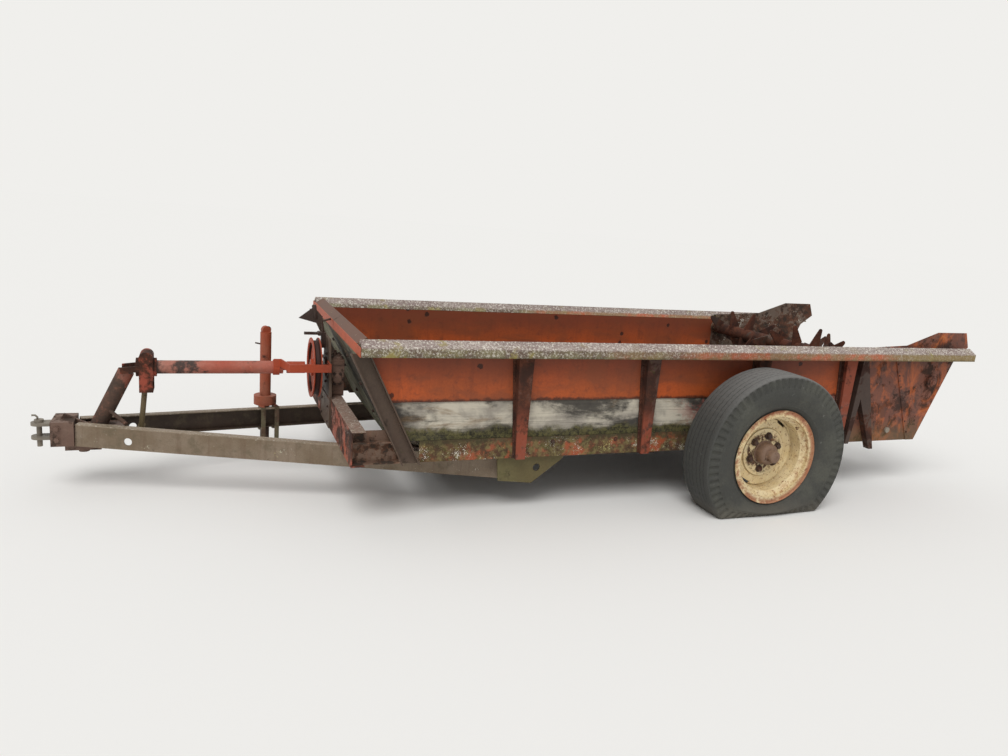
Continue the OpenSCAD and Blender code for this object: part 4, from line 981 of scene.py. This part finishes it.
def solid_mesh(name, points, faces, material):
    mesh = bpy.data.meshes.new(name)
    mesh.from_pydata([tuple(p) for p in points], [], faces)
    mesh.materials.append(material)
    shape = bmesh.new()
    shape.from_mesh(mesh)
    bmesh.ops.remove_doubles(shape, verts=shape.verts, dist=1e-6)
    bmesh.ops.recalc_face_normals(shape, faces=shape.faces)
    shape.to_mesh(mesh)
    shape.free()
    mesh.polygons.foreach_set("use_smooth", [True] * len(mesh.polygons))
    return mesh


def ring_faces(rings, count):
    """Faces between closed rings of count points each, with the last ring joined to the first."""
    faces = []
    for k in range(rings):
        a, b = k * count, (k + 1) % rings * count
        faces += [(a + j, a + (j + 1) % count, b + (j + 1) % count, b + j) for j in range(count)]
    return faces


def lathe(profile, centre, axis, segments=72):
    """Points and faces of a closed profile of (radius, offset) turned about an axis through a centre."""
    axis = Vector(axis).normalized()
    side = axis.orthogonal().normalized()
    other = axis.cross(side)
    points = [Vector(centre) + axis * h + (side * math.cos(t) + other * math.sin(t)) * r
              for t in (2 * math.pi * k / segments for k in range(segments)) for r, h in profile]
    return points, ring_faces(segments, len(profile))


def tube(path, radius, sides=12, closed=False):
    """Points and faces of a round bar along a path, with closed ends."""
    path = [Vector(p) for p in path]
    count = len(path)
    points, faces = [], []
    normal = None
    for k, p in enumerate(path):
        before = path[(k - 1) % count if closed or k else 0]
        after = path[(k + 1) % count if closed or k < count - 1 else k]
        ahead = (after - before).normalized()
        if normal is None:
            normal = ahead.orthogonal().normalized()
        else:
            normal = (normal - ahead * normal.dot(ahead)).normalized()
        other = ahead.cross(normal)
        points += [p + radius * (normal * math.cos(t) + other * math.sin(t))
                   for t in (2 * math.pi * j / sides for j in range(sides))]
    for k in range(count if closed else count - 1):
        a, b = k * sides, (k + 1) % count * sides
        faces += [(a + j, a + (j + 1) % sides, b + (j + 1) % sides, b + j) for j in range(sides)]
    if not closed:
        faces += [tuple(range(sides)), tuple(range((count - 1) * sides, count * sides))]
    return points, faces


def arc(centre, radius, start, end, steps, plane="XZ"):
    """Points on an arc in a plane, angles in degrees."""
    out = []
    for k in range(steps + 1):
        t = math.radians(start + (end - start) * k / steps)
        a, b = radius * math.cos(t), radius * math.sin(t)
        shift = {"XZ": (a, 0, b), "XY": (a, b, 0), "YZ": (0, a, b)}[plane]
        out.append(Vector(centre) + Vector(shift))
    return out


def merge(parts):
    """Join several (points, faces) into one."""
    points, faces = [], []
    for p, f in parts:
        start = len(points)
        points += p
        faces += [tuple(start + v for v in face) for face in f]
    return points, faces


def slab(outline, place, normal, thickness, bevel=0.0015):
    """A flat plate of an outline of (u, v) on a plane through place, with softened edges."""
    normal = Vector(normal).normalized()
    u = Vector((0, 0, 1)).cross(normal)
    u = Vector((1, 0, 0)) if u.length < 0.01 else u.normalized()
    v = normal.cross(u)
    middle_u = sum(p[0] for p in outline) / len(outline)
    middle_v = sum(p[1] for p in outline) / len(outline)
    rings = []
    for shrink, h in ((0, 0), (0, thickness - bevel), (bevel, thickness)):
        ring = []
        for a, b in outline:
            reach = max(math.hypot(a - middle_u, b - middle_v), 1e-6)
            f = 1 - shrink / reach
            at_u = middle_u + (a - middle_u) * f
            at_v = middle_v + (b - middle_v) * f
            ring.append(Vector(place) + u * at_u + v * at_v + normal * h)
        rings.append(ring)
    n = len(outline)
    points = [p for ring in rings for p in ring]
    faces = [(k * n + j, k * n + (j + 1) % n, (k + 1) * n + (j + 1) % n, (k + 1) * n + j)
             for k in range(2) for j in range(n)]
    return points, faces + [tuple(range(n)), tuple(range(2 * n, 3 * n))]


def rounded(width, height, radius, steps=4):
    """Outline of a rounded rectangle as (u, v)."""
    out = []
    for su, sv, start in ((1, 1, 0), (-1, 1, 90), (-1, -1, 180), (1, -1, 270)):
        for k in range(steps + 1):
            t = math.radians(start + 90 * k / steps)
            out.append((su * (width / 2 - radius) + radius * math.cos(t),
                        sv * (height / 2 - radius) + radius * math.sin(t)))
    return out


class Shop:
    """What the operators share: the finishes and the geometry trees."""
    finishes = {}
    trees = {}


class SPREADER_OT_finishes(bpy.types.Operator):
    """Give every CAD node its weathered finish"""
    bl_idname = "spreader.finishes"
    bl_label = "Finishes"

    def execute(self, context):
        Shop.finishes = make_finishes(context.scene)
        Shop.trees = {t.name: t
                      for t in (make_bolt_tree(), make_rivet_tree(), make_chain_tree(), make_weld_tree())}
        for finish, nodes in NODE_FINISH.items():
            for name in nodes:
                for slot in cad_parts[name].material_slots:
                    slot.material = Shop.finishes[finish]
        return {"FINISHED"}


def tyre_section(radius, half):
    """Half section from the bead to the crown: (radius, half width, what is there)."""
    rim = RIM_RADIUS
    return [
        (0.2545, 0.0817, "bead"), (rim + 0.002, 0.0817, "bead"), (rim + 0.006, 0.086, "wall"),
        (rim + 0.020, 0.099, "wall"), (rim + 0.028, 0.1045, "ring"), (rim + 0.034, 0.1065, "wall"),
        (rim + 0.062, 0.121, "wall"), (rim + 0.090, half, "wall"), (radius - 0.104, half * 1.003, "wall"),
        (radius - 0.098, half * 1.003, "ring"), (radius - 0.092, half * 1.0, "wall"),
        (radius - 0.076, half * 0.985, "wall"), (radius - 0.070, half * 0.985, "bar"),
        (radius - 0.050, half * 0.972, "bar"), (radius - 0.030, half * 0.955, "bar"),
        (radius - 0.018, half * 0.935, "bar"), (radius - 0.012, half * 0.925, "wall"),
        (radius - 0.006, half * 0.895, "wall"), (radius - 0.003, half * 0.84, "wall"),
        (radius - 0.0015, half * 0.70, "wall"), (radius - 0.0015, half * 0.52, "sipe"),
        (radius - 0.0010, half * 0.47, "sipe"), (radius, half * 0.28, "sipe"), (radius, half * 0.10, "sipe"),
    ]


def squashed(radius, across, angle, tread, centre_height, start):
    """Flatten a tyre point on the ground: its new radius and its new place across the tyre."""
    down = math.cos(angle)
    room = centre_height / down if down > 0.01 else 9.0
    if room >= tread or radius <= start:
        return radius, across
    share = (radius - start) / (tread - start)
    new = start + (radius - start) * (room - start) / (tread - start)
    return new, across * (1 + SQUASH_BULGE * (1 - room / tread) * math.sin(math.pi * min(share, 1)))


class SPREADER_OT_tyres(bpy.types.Operator):
    """Make the flat tyres with their shoulder bars, grooves and rings"""
    bl_idname = "spreader.tyres"
    bl_label = "Tyres"

    def execute(self, context):
        t = context.scene.spreader_tyres
        half = t.width / 2
        one = tyre_section(t.radius, half)
        section = [(r, -w, kind) for r, w, kind in one] + [(r, w, kind) for r, w, kind in reversed(one)]
        rings = t.bars * 4
        for side, sign in SIDES.items():
            points = []
            for k in range(rings):
                angle = 2 * math.pi * (k + 0.5) / rings
                for r, w, kind in section:
                    if kind == "bar" and k % 4 < 2:
                        w -= math.copysign(0.0075, w)
                        r -= 0.0020
                    elif kind == "sipe" and k % 4 == 0:
                        r -= 0.0030
                    elif kind == "ring":
                        w += math.copysign(0.0015, w)
                    r, w = squashed(r, w, angle, t.radius, AXLE_Z, SQUASH_FROM)
                    points.append((AXLE_X + r * math.sin(angle), sign * WHEEL_Y + w,
                                   max(AXLE_Z - r * math.cos(angle), 0.0005)))
            faces = ring_faces(rings, len(section))
            tyre = solid_piece("worn_tyre_" + side, [(points, faces)], "rubber", "wheel_" + side,
                               34)
            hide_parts("tyre_" + side)
        return {"FINISHED"}


class SPREADER_OT_wheels(bpy.types.Operator):
    """Make the domed hub caps and the wheel bolts"""
    bl_idname = "spreader.wheels"
    bl_label = "Wheel fittings"

    def execute(self, context):
        f = context.scene.spreader_fasteners
        for side, sign in SIDES.items():
            body = "wheel_" + side
            centre = (AXLE_X, sign * WHEEL_Y, AXLE_Z)
            disc = DISC_OFFSET
            profile = [(0.031, -0.096), (0.060, -0.096), (0.0635, -0.090), (0.0635, -0.034), (0.117, -0.034),
                       (0.117, -0.0205), (0.0635, -0.0205), (0.0635, disc), (0.072, disc),
                       (0.073, disc + 0.006), (0.0655, disc + 0.009), (0.0655, 0.024), (0.0635, 0.038),
                       (0.057, 0.049), (0.047, 0.055), (0.041, 0.0565), (0.041, 0.062), (0.0375, 0.064),
                       (0.0372, 0.084), (0.0345, 0.0925), (0.026, 0.0965), (0.012, 0.0968), (0.0115, 0.0945),
                       (0.0, 0.0945), (0.0, 0.062), (0.031, 0.062)]
            dome = lathe(profile, centre, (0, sign, 0), 80)
            hub = solid_piece("hub_dome_" + side, [dome], "hub", body, 40)
            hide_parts("hub_" + side)
            face = sign * (WHEEL_Y + disc)
            heads = [((AXLE_X + BOLT_CIRCLE * math.cos(a), face, AXLE_Z + BOLT_CIRCLE * math.sin(a)),
                      (0, sign, 0))
                     for a in (math.radians(20 + 60 * k) for k in range(6))]
            head_piece("wheel_bolts_" + side, "bolt_heads", heads, f.lug, 0.022, "dark", body)
        return {"FINISHED"}


def post_x(z):
    """Front edge of the slanted corner posts at a height."""
    return POST_FOOT_X - (z - SILL_Z) * POST_TAN


def stake_edge(z):
    """Middle, half width and flange of a stake's hat at a height, from the middle of its foot."""
    t = (z - SILL_Z) / (LIP_Z + 0.015 - SILL_Z)
    return -0.020 * t, 0.027 + 0.017 * t, 0.008 + 0.010 * t


def side_heads():
    """Rivets and bolts of the body, as (place, facing), on both sides."""
    rivets, bolts = [], []
    for sign in (-1, 1):
        out = (0, sign, 0)
        for foot in STAKE_FEET:
            for z in (0.335, 0.405, 0.46, 0.545, 0.61, 0.67, 0.75, 0.83):
                mid, half, flange = stake_edge(z)
                for way in (-1, 1):
                    rivets.append(((foot + mid + way * (half + flange / 2), sign * (BOX_Y + 0.0053), z),
                                   out))
        plate_y = high("rear_plate_right").y - 0.022
        for z in (0.40, 0.62, 0.82):
            bolts.append(((AXLE_X + 0.833, sign * (BOX_Y - 0.0033), z), out))
        for t in (0.06, 0.2, 0.34, 0.5, 0.64, 0.78, 0.92):
            x, z = 1.197 + (1.425 - 1.197) * t, 0.878 + (0.325 - 0.878) * t
            rivets.append(((AXLE_X + x, sign * (plate_y + 0.005), z), out))
        for x in (-1.3, -0.9, -0.3, 0.35, 0.6):
            bolts.append(((AXLE_X + x, sign * BOX_Y, FLOOR_Z - 0.03), out))
    return rivets, bolts


class SPREADER_OT_fasteners(bpy.types.Operator):
    """Make the rivets and bolts of the body, walls and floor"""
    bl_idname = "spreader.fasteners"
    bl_label = "Rivets and bolts"

    def execute(self, context):
        f = context.scene.spreader_fasteners
        rivets, bolts = side_heads()
        head_piece("stake_rivets", "rivet_heads", rivets, f.rivet, 0.005, "stake", "spreader")
        wall_way = (-math.cos(POST_LEAN), 0, -math.sin(POST_LEAN))
        for z in (0.46, 0.62, 0.78):
            for y in (-0.25, 0.25):
                bolts.append(((post_x(z) + 0.0312, y, z), wall_way))
        head_piece("side_bolts", "bolt_heads", bolts, f.bolt, 0.010, "dark", "spreader")
        planks = [-PLANKS_WIDTH / 2 + (PLANKS_WIDTH / PLANKS) * (k + 0.5) for k in range(PLANKS)]
        nails = [((x, y + step, FLOOR_Z - 0.0008), (0, 0, 1))
                 for x in CROSS_MEMBERS for y in planks for step in (-0.05, 0.05)]
        head_piece("floor_nails", "rivet_heads", nails, 0.016, 0.004, "dark", "spreader")
        return {"FINISHED"}


class SPREADER_OT_apron(bpy.types.Operator):
    """Make the steel links of the apron chains and the bolts of the slats"""
    bl_idname = "spreader.apron"
    bl_label = "Apron"

    def execute(self, context):
        f = context.scene.spreader_fasteners
        front, rear = middle("apron_front_shaft"), middle("apron_rear_shaft")
        radius = 0.0403 + 0.008
        under = low("axle").z - 0.0083
        paths = []
        for y in (-CHAIN_Y, CHAIN_Y):
            path = arc((front.x, y, front.z), radius, 90, 270, 12)
            path += [Vector((AXLE_X - 0.07, y, under)), Vector((AXLE_X + 0.07, y, under))]
            path += arc((rear.x, y, rear.z), radius, -90, 90, 12)
            paths.append(path)
        grown_piece("apron_links", path_mesh("apron_links", paths, True), Shop.trees["chain_links"],
                    {"Pitch": f.link, "Width": 0.050, "Wire": 0.0095, "Material": Shop.finishes["dark"]},
                    "spreader")
        pitch = (rear.x - front.x) / SLATS
        top = high("apron_chain").z
        heads = [((front.x + (k + 0.5) * pitch, y + step, top), (0, 0, 1))
                 for k in range(SLATS) for y in (-CHAIN_Y, CHAIN_Y) for step in (-0.017, 0.017)]
        head_piece("slat_bolts", "bolt_heads", heads, 0.017, 0.009, "worn_steel", "spreader")
        return {"FINISHED"}


class SPREADER_OT_bearings(bpy.types.Operator):
    """Make the round bearings of the rotor on the rear plates"""
    bl_idname = "spreader.bearings"
    bl_label = "Bearings"

    def execute(self, context):
        rotor = middle("spreader_rotor")
        parts = []
        profile = [(0.0, -0.001), (0.043, -0.001), (0.043, 0.003), (0.033, 0.005), (0.031, 0.011),
                   (0.016, 0.012), (0.015, 0.017), (0.0, 0.017)]
        for sign in (-1, 1):
            out = Vector((0, sign, 0))
            base = Vector((rotor.x, sign * (BOX_Y + 0.0187), rotor.z))
            parts.append(lathe(profile, base, out, 40))
        solid_piece("bearing_flanges", parts, "plate", "spreader", 35)
        return {"FINISHED"}


class SPREADER_OT_gearbox(bpy.types.Operator):
    """Make the gearbox covers, the plug and their bolts"""
    bl_idname = "spreader.gearbox"
    bl_label = "Gearbox"

    def execute(self, context):
        a, b = low("gearbox"), high("gearbox")
        mid = (a + b) / 2
        parts = [slab(rounded(b.x - a.x - 0.008, 0.136, 0.016), (mid.x, 0, b.z), (0, 0, 1), 0.010)]
        heads = [((mid.x + u, v, b.z + 0.010), (0, 0, 1)) for u in (-0.028, 0.028)
                 for v in (-0.058, 0.0, 0.058)]
        plug = [(0.0, 0.0), (0.014, 0.0), (0.014, 0.012), (0.010, 0.014), (0.010, 0.026), (0.0, 0.027)]
        parts.append(lathe(plug, (mid.x, 0.03, b.z + 0.010), (0, 0, 1), 24))
        cap = [(0.0, 0.0), (0.037, 0.0), (0.037, 0.007), (0.027, 0.009), (0.024, 0.016), (0.0, 0.018)]
        for sign in (-1, 1):
            centre = (mid.x, sign * b.y, DRIVE_Z - 0.05)
            if sign < 0:
                parts.append(lathe(cap, centre, (0, sign, 0), 40))
                heads += [((mid.x + 0.032 * math.cos(t), sign * (b.y + 0.007),
                            DRIVE_Z - 0.05 + 0.032 * math.sin(t)),
                           (0, sign, 0)) for t in (math.radians(60 * k) for k in range(6))]
            for z in (a.z + 0.02, b.z - 0.022):
                parts.append(slab(rounded(b.x - a.x - 0.006, 0.014, 0.005), (mid.x, sign * b.y, z),
                                  (0, sign, 0), 0.006))
        solid_piece("gearbox_covers", parts, "gearbox", "spreader", 35)
        stand = low("gearbox_stand").x
        heads += [((stand, 0.082 * math.cos(t), DRIVE_Z + 0.082 * math.sin(t)), (-1, 0, 0))
                  for t in (math.radians(30 + 60 * k) for k in range(6))]
        heads += [((stand, y, z), (-1, 0, 0)) for y in (-0.11, 0.11) for z in (0.36, 0.45)]
        head_piece("gearbox_bolts", "bolt_heads", heads, 0.014, 0.008, "dark", "spreader")
        return {"FINISHED"}


class SPREADER_OT_case(bpy.types.Operator):
    """Make the raised rim, the bosses and the bolts of the side drive case"""
    bl_idname = "spreader.case"
    bl_label = "Drive case"

    def execute(self, context):
        y = high("drive_case").y
        x0, x1 = low("drive_case").x, high("drive_case").x
        outline = [(x0, 0.5), (x0, 0.88), (x0 + 0.04, 0.884), (x1, 0.8), (x1, 0.66), (x0 + 0.44, 0.34),
                   (x0 + 0.34, 0.34)]
        count = len(outline)
        centre = Vector((sum(p[0] for p in outline) / count, 0, sum(p[1] for p in outline) / count))
        inner = []
        for x, z in outline:
            way = centre - Vector((x, 0, z))
            p = Vector((x, 0, z)) + way.normalized() * 0.030
            inner.append((p.x, p.z))
        rim = tube([(x, y - 0.001, z) for x, z in inner], 0.006, 8, closed=True)
        parts = [rim]
        for place, size in ((middle("main_beater"), 0.075), (middle("upper_beater"), 0.055),
                            (middle("spreader_rotor"), 0.055)):
            base = (min(place.x, x1 - 0.09), y - 0.0005, place.z - (0.03 if size < 0.06 else 0.06))
            boss = [(0.0, 0.0), (size, 0.0), (size - 0.004, 0.006), (size - 0.018, 0.009), (0.020, 0.010),
                    (0.018, 0.014), (0.0, 0.015)]
            parts.append(lathe(boss, base, (0, 1, 0), 40))
        solid_piece("case_cover", parts, "case", "spreader", 35)
        heads = []
        for k in range(len(inner)):
            p, q = Vector(inner[k]), Vector(inner[(k + 1) % len(inner)])
            steps = max(1, round((q - p).length / 0.14))
            for s in range(steps):
                u = p.lerp(q, s / steps)
                way = Vector((centre.x, centre.z)) - u
                u += way.normalized() * 0.016
                heads.append(((u.x, y, u.y), (0, 1, 0)))
        head_piece("case_bolts", "bolt_heads", heads, 0.018, 0.009, "dark", "spreader")
        return {"FINISHED"}


class SPREADER_OT_hitch(bpy.types.Operator):
    """Make the pin ring, hitch bolts and the welds of the drawbar and the posts"""
    bl_idname = "spreader.hitch"
    bl_label = "Hitch"

    def execute(self, context):
        pin = middle("hitch_pin")
        ring = tube(arc((pin.x, 0, 0.2715), 0.017, 0, 340, 24, "XY"), 0.0022, 8)
        top = high("hitch_pin").z
        handle = tube([Vector((pin.x - 0.006, 0, top - 0.003)), Vector((pin.x - 0.006, 0, top + 0.012)),
                       Vector((pin.x - 0.016, 0, top + 0.022)), Vector((pin.x - 0.032, 0, top + 0.022))],
                       0.005, 10)
        solid_piece("pin_ring", [ring, handle], "worn_steel", "spreader")
        block = low("hitch_casting")
        heads = [((block.x + 0.030, sign * high("hitch_casting").y, z), (0, sign, 0)) for sign in (-1, 1)
                 for z in (0.29, 0.35)]
        head_piece("hitch_bolts", "bolt_heads", heads, 0.026, 0.014, "casting", "spreader")
        stand, bolster = low("gearbox_stand"), low("front_bolster")
        beads = [
            [(stand.x + 0.0005, y, high("front_bolster").z + 0.001) for y in (-0.155, 0.155)],
            arc((POST_FITTING_X, 0, 0.3465), 0.043, 0, 359, 40, "XY"),
        ]
        for sign in (-1, 1):
            for x in (0.004, 0.066):
                y = BEAM_NOSE_Y + (bolster.x + x - BEAM_NOSE_X) * math.tan(BEAM_YAW)
                beads.append([(bolster.x + x, sign * (y - 0.04), bolster.z),
                              (bolster.x + x, sign * y, bolster.z)])
            for z in (0.34, 0.43):
                beads.append([(post_x(z) - 0.0005, sign * (BOX_Y + 0.010), z),
                              (post_x(z) - 0.0005, sign * (BOX_Y + 0.038), z)])
            beads.append([(AXLE_X - 1.60, sign * 0.7135, SILL_Z - 0.001),
                          (AXLE_X - 1.21, sign * 0.7135, SILL_Z - 0.001)])
        grown_piece("weld_beads", path_mesh("weld_beads", beads), Shop.trees["weld_beads"],
                    {"Bead": 0.0042, "Ripple": 0.004, "Material": Shop.finishes["casting"]}, "spreader")
        return {"FINISHED"}


class SPREADER_OT_jack(bpy.types.Operator):
    """Make the jack's eye, its pin and the clamp bolts"""
    bl_idname = "spreader.jack"
    bl_label = "Jack"

    def execute(self, context):
        leg, tube_low = JACK, low("jack_tube")
        top = high("jack_tube").z
        eye = tube(arc((leg.x + 0.012, leg.y, top - 0.020), 0.0125, 0, 360, 24)[:-1], 0.0065, 10,
                   closed=True)
        pin = tube([Vector((leg.x - 0.062, leg.y, top - 0.105)),
                    Vector((leg.x - 0.0325, leg.y, top - 0.111))], 0.0045, 10)
        solid_piece("jack_eye", [eye, pin], "dark", "spreader")
        along = Vector((math.cos(BEAM_YAW), math.sin(BEAM_YAW), 0))
        out = Vector((-math.sin(BEAM_YAW), math.cos(BEAM_YAW), 0))
        face = leg - out * 0.045
        heads = []
        for s in (-0.042, 0.042):
            for z in (tube_low.z + 0.075, tube_low.z + 0.118):
                heads.append(((face + along * s + out * 0.0083).xy.to_3d() + Vector((0, 0, z)), out))
        head_piece("jack_bolts", "bolt_heads", heads, 0.020, 0.011, "worn_steel", "spreader")
        return {"FINISHED"}


class SPREADER_OT_levers(bpy.types.Operator):
    """Make the grip of the control lever and the pin it turns on"""
    bl_idname = "spreader.levers"
    bl_label = "Lever grips"

    def execute(self, context):
        box_low, box_high = low("control_levers"), high("control_levers")
        y = (box_low.y + box_high.y) / 2
        x0 = box_low.x
        profile = [(0.0, 0.0), (0.010, 0.001), (0.0125, 0.006), (0.0115, 0.040), (0.0135, 0.074),
                   (0.011, 0.082), (0.0, 0.084)]
        grip = lathe(profile, (box_high.x - 0.086, y, 0.928), (-0.136, 0, 0.99), 24)
        profile = [(0.0, -0.024), (0.011, -0.024), (0.012, -0.020), (0.012, 0.020), (0.011, 0.024),
                   (0.0, 0.024)]
        pin = lathe(profile, (x0 + 0.118, y, 0.843), (0, 1, 0), 24)
        solid_piece("lever_grips", [grip, pin], "dark", "spreader", 35)
        return {"FINISHED"}


class SPREADER_OT_stage(bpy.types.Operator):
    """Set up the floor, the lights and the camera"""
    bl_idname = "spreader.stage"
    bl_label = "Stage"

    def execute(self, context):
        scene = context.scene
        s = scene.spreader_stage
        reach = 90.0
        mesh = bpy.data.meshes.new("floor")
        mesh.from_pydata([(-reach, -reach, 0), (reach, -reach, 0), (reach, reach, 0), (-reach, reach, 0)],
                         [], [(0, 1, 2, 3)])
        floor = bpy.data.objects.new("floor", mesh)
        scene.collection.objects.link(floor)
        material = bpy.data.materials.new("studio_floor")
        material.use_nodes = True
        shader = material.node_tree.nodes["Principled BSDF"]
        shader.inputs["Base Color"].default_value = (*s.floor, 1)
        shader.inputs["Roughness"].default_value = 0.95
        shader.inputs["Specular IOR Level"].default_value = 0.0
        mesh.materials.append(material)

        world = bpy.data.worlds.new("studio")
        world.use_nodes = True
        n = Nodes(world.node_tree)
        light = world.node_tree.nodes["Background"]
        light.inputs[0].default_value = (1, 1, 1, 1)
        light.inputs[1].default_value = s.sky
        seen = n.add("ShaderNodeBackground")
        seen.inputs[0].default_value = (*s.backdrop, 1)
        seen.inputs[1].default_value = 1.0
        path = n.add("ShaderNodeLightPath")
        direct = n.most(*(path.outputs[ray]
                          for ray in ("Is Camera Ray", "Is Glossy Ray", "Is Transmission Ray")))
        mix = n.add("ShaderNodeMixShader")
        n.put(mix.inputs[0], direct)
        world.node_tree.links.new(light.outputs[0], mix.inputs[1])
        world.node_tree.links.new(seen.outputs[0], mix.inputs[2])
        world.node_tree.links.new(mix.outputs[0], world.node_tree.nodes["World Output"].inputs[0])
        scene.world = world

        lamp = bpy.data.lights.new("key", "SUN")
        lamp.energy = s.sun
        lamp.angle = math.radians(35)
        obj = bpy.data.objects.new("key", lamp)
        obj.rotation_euler = Vector((0.42, 0.55, -0.95)).to_track_quat("-Z", "Y").to_euler()
        scene.collection.objects.link(obj)

        yaw, pitch, roll = CAMERA_YAW, CAMERA_PITCH, CAMERA_ROLL
        ahead = Vector((math.sin(yaw) * math.cos(pitch), math.cos(yaw) * math.cos(pitch), -math.sin(pitch)))
        level = Vector((math.cos(yaw), -math.sin(yaw), 0))
        upright = level.cross(ahead)
        right = math.cos(roll) * level + math.sin(roll) * upright
        up = -math.sin(roll) * level + math.cos(roll) * upright
        camera = bpy.data.cameras.new("camera")
        camera.sensor_width = SENSOR_WIDTH
        camera.lens = FOCAL_PIXELS / PHOTO_WIDTH * SENSOR_WIDTH
        camera.clip_end = 400
        obj = bpy.data.objects.new("camera", camera)
        turn = Matrix((right, up, -ahead)).transposed().to_4x4()
        obj.matrix_world = Matrix.Translation(CAMERA_PLACE) @ turn
        scene.collection.objects.link(obj)
        scene.camera = obj
        scene.view_settings.view_transform = "Standard"
        return {"FINISHED"}


class SPREADER_PT_panel(bpy.types.Panel):
    """Steps that dress the spreader"""
    bl_idname = "SPREADER_PT_panel"
    bl_label = "Spreader"
    bl_space_type = "VIEW_3D"
    bl_region_type = "UI"
    bl_category = "Spreader"

    def draw(self, context):
        for operator in OPERATORS:
            self.layout.operator(operator.bl_idname)


GROUPS = {"spreader_paint": SpreaderPaint, "spreader_wood": SpreaderWood, "spreader_tyres": SpreaderTyres,
          "spreader_fasteners": SpreaderFasteners, "spreader_stage": SpreaderStage}
OPERATORS = (SPREADER_OT_finishes, SPREADER_OT_tyres, SPREADER_OT_wheels, SPREADER_OT_fasteners,
             SPREADER_OT_apron, SPREADER_OT_bearings, SPREADER_OT_gearbox, SPREADER_OT_case,
             SPREADER_OT_hitch, SPREADER_OT_jack, SPREADER_OT_levers, SPREADER_OT_stage)


def register():
    for cls in (*GROUPS.values(), *OPERATORS, SPREADER_PT_panel):
        bpy.utils.register_class(cls)
    for name, group in GROUPS.items():
        setattr(bpy.types.Scene, name, PointerProperty(type=group))


def unregister():
    for name in GROUPS:
        delattr(bpy.types.Scene, name)
    for cls in (SPREADER_PT_panel, *reversed(OPERATORS), *GROUPS.values()):
        bpy.utils.unregister_class(cls)


def main():
    register()
    for operator in OPERATORS:
        area, name = operator.bl_idname.split(".")
        getattr(getattr(bpy.ops, area), name)()


if __name__ == "__main__":
    main()
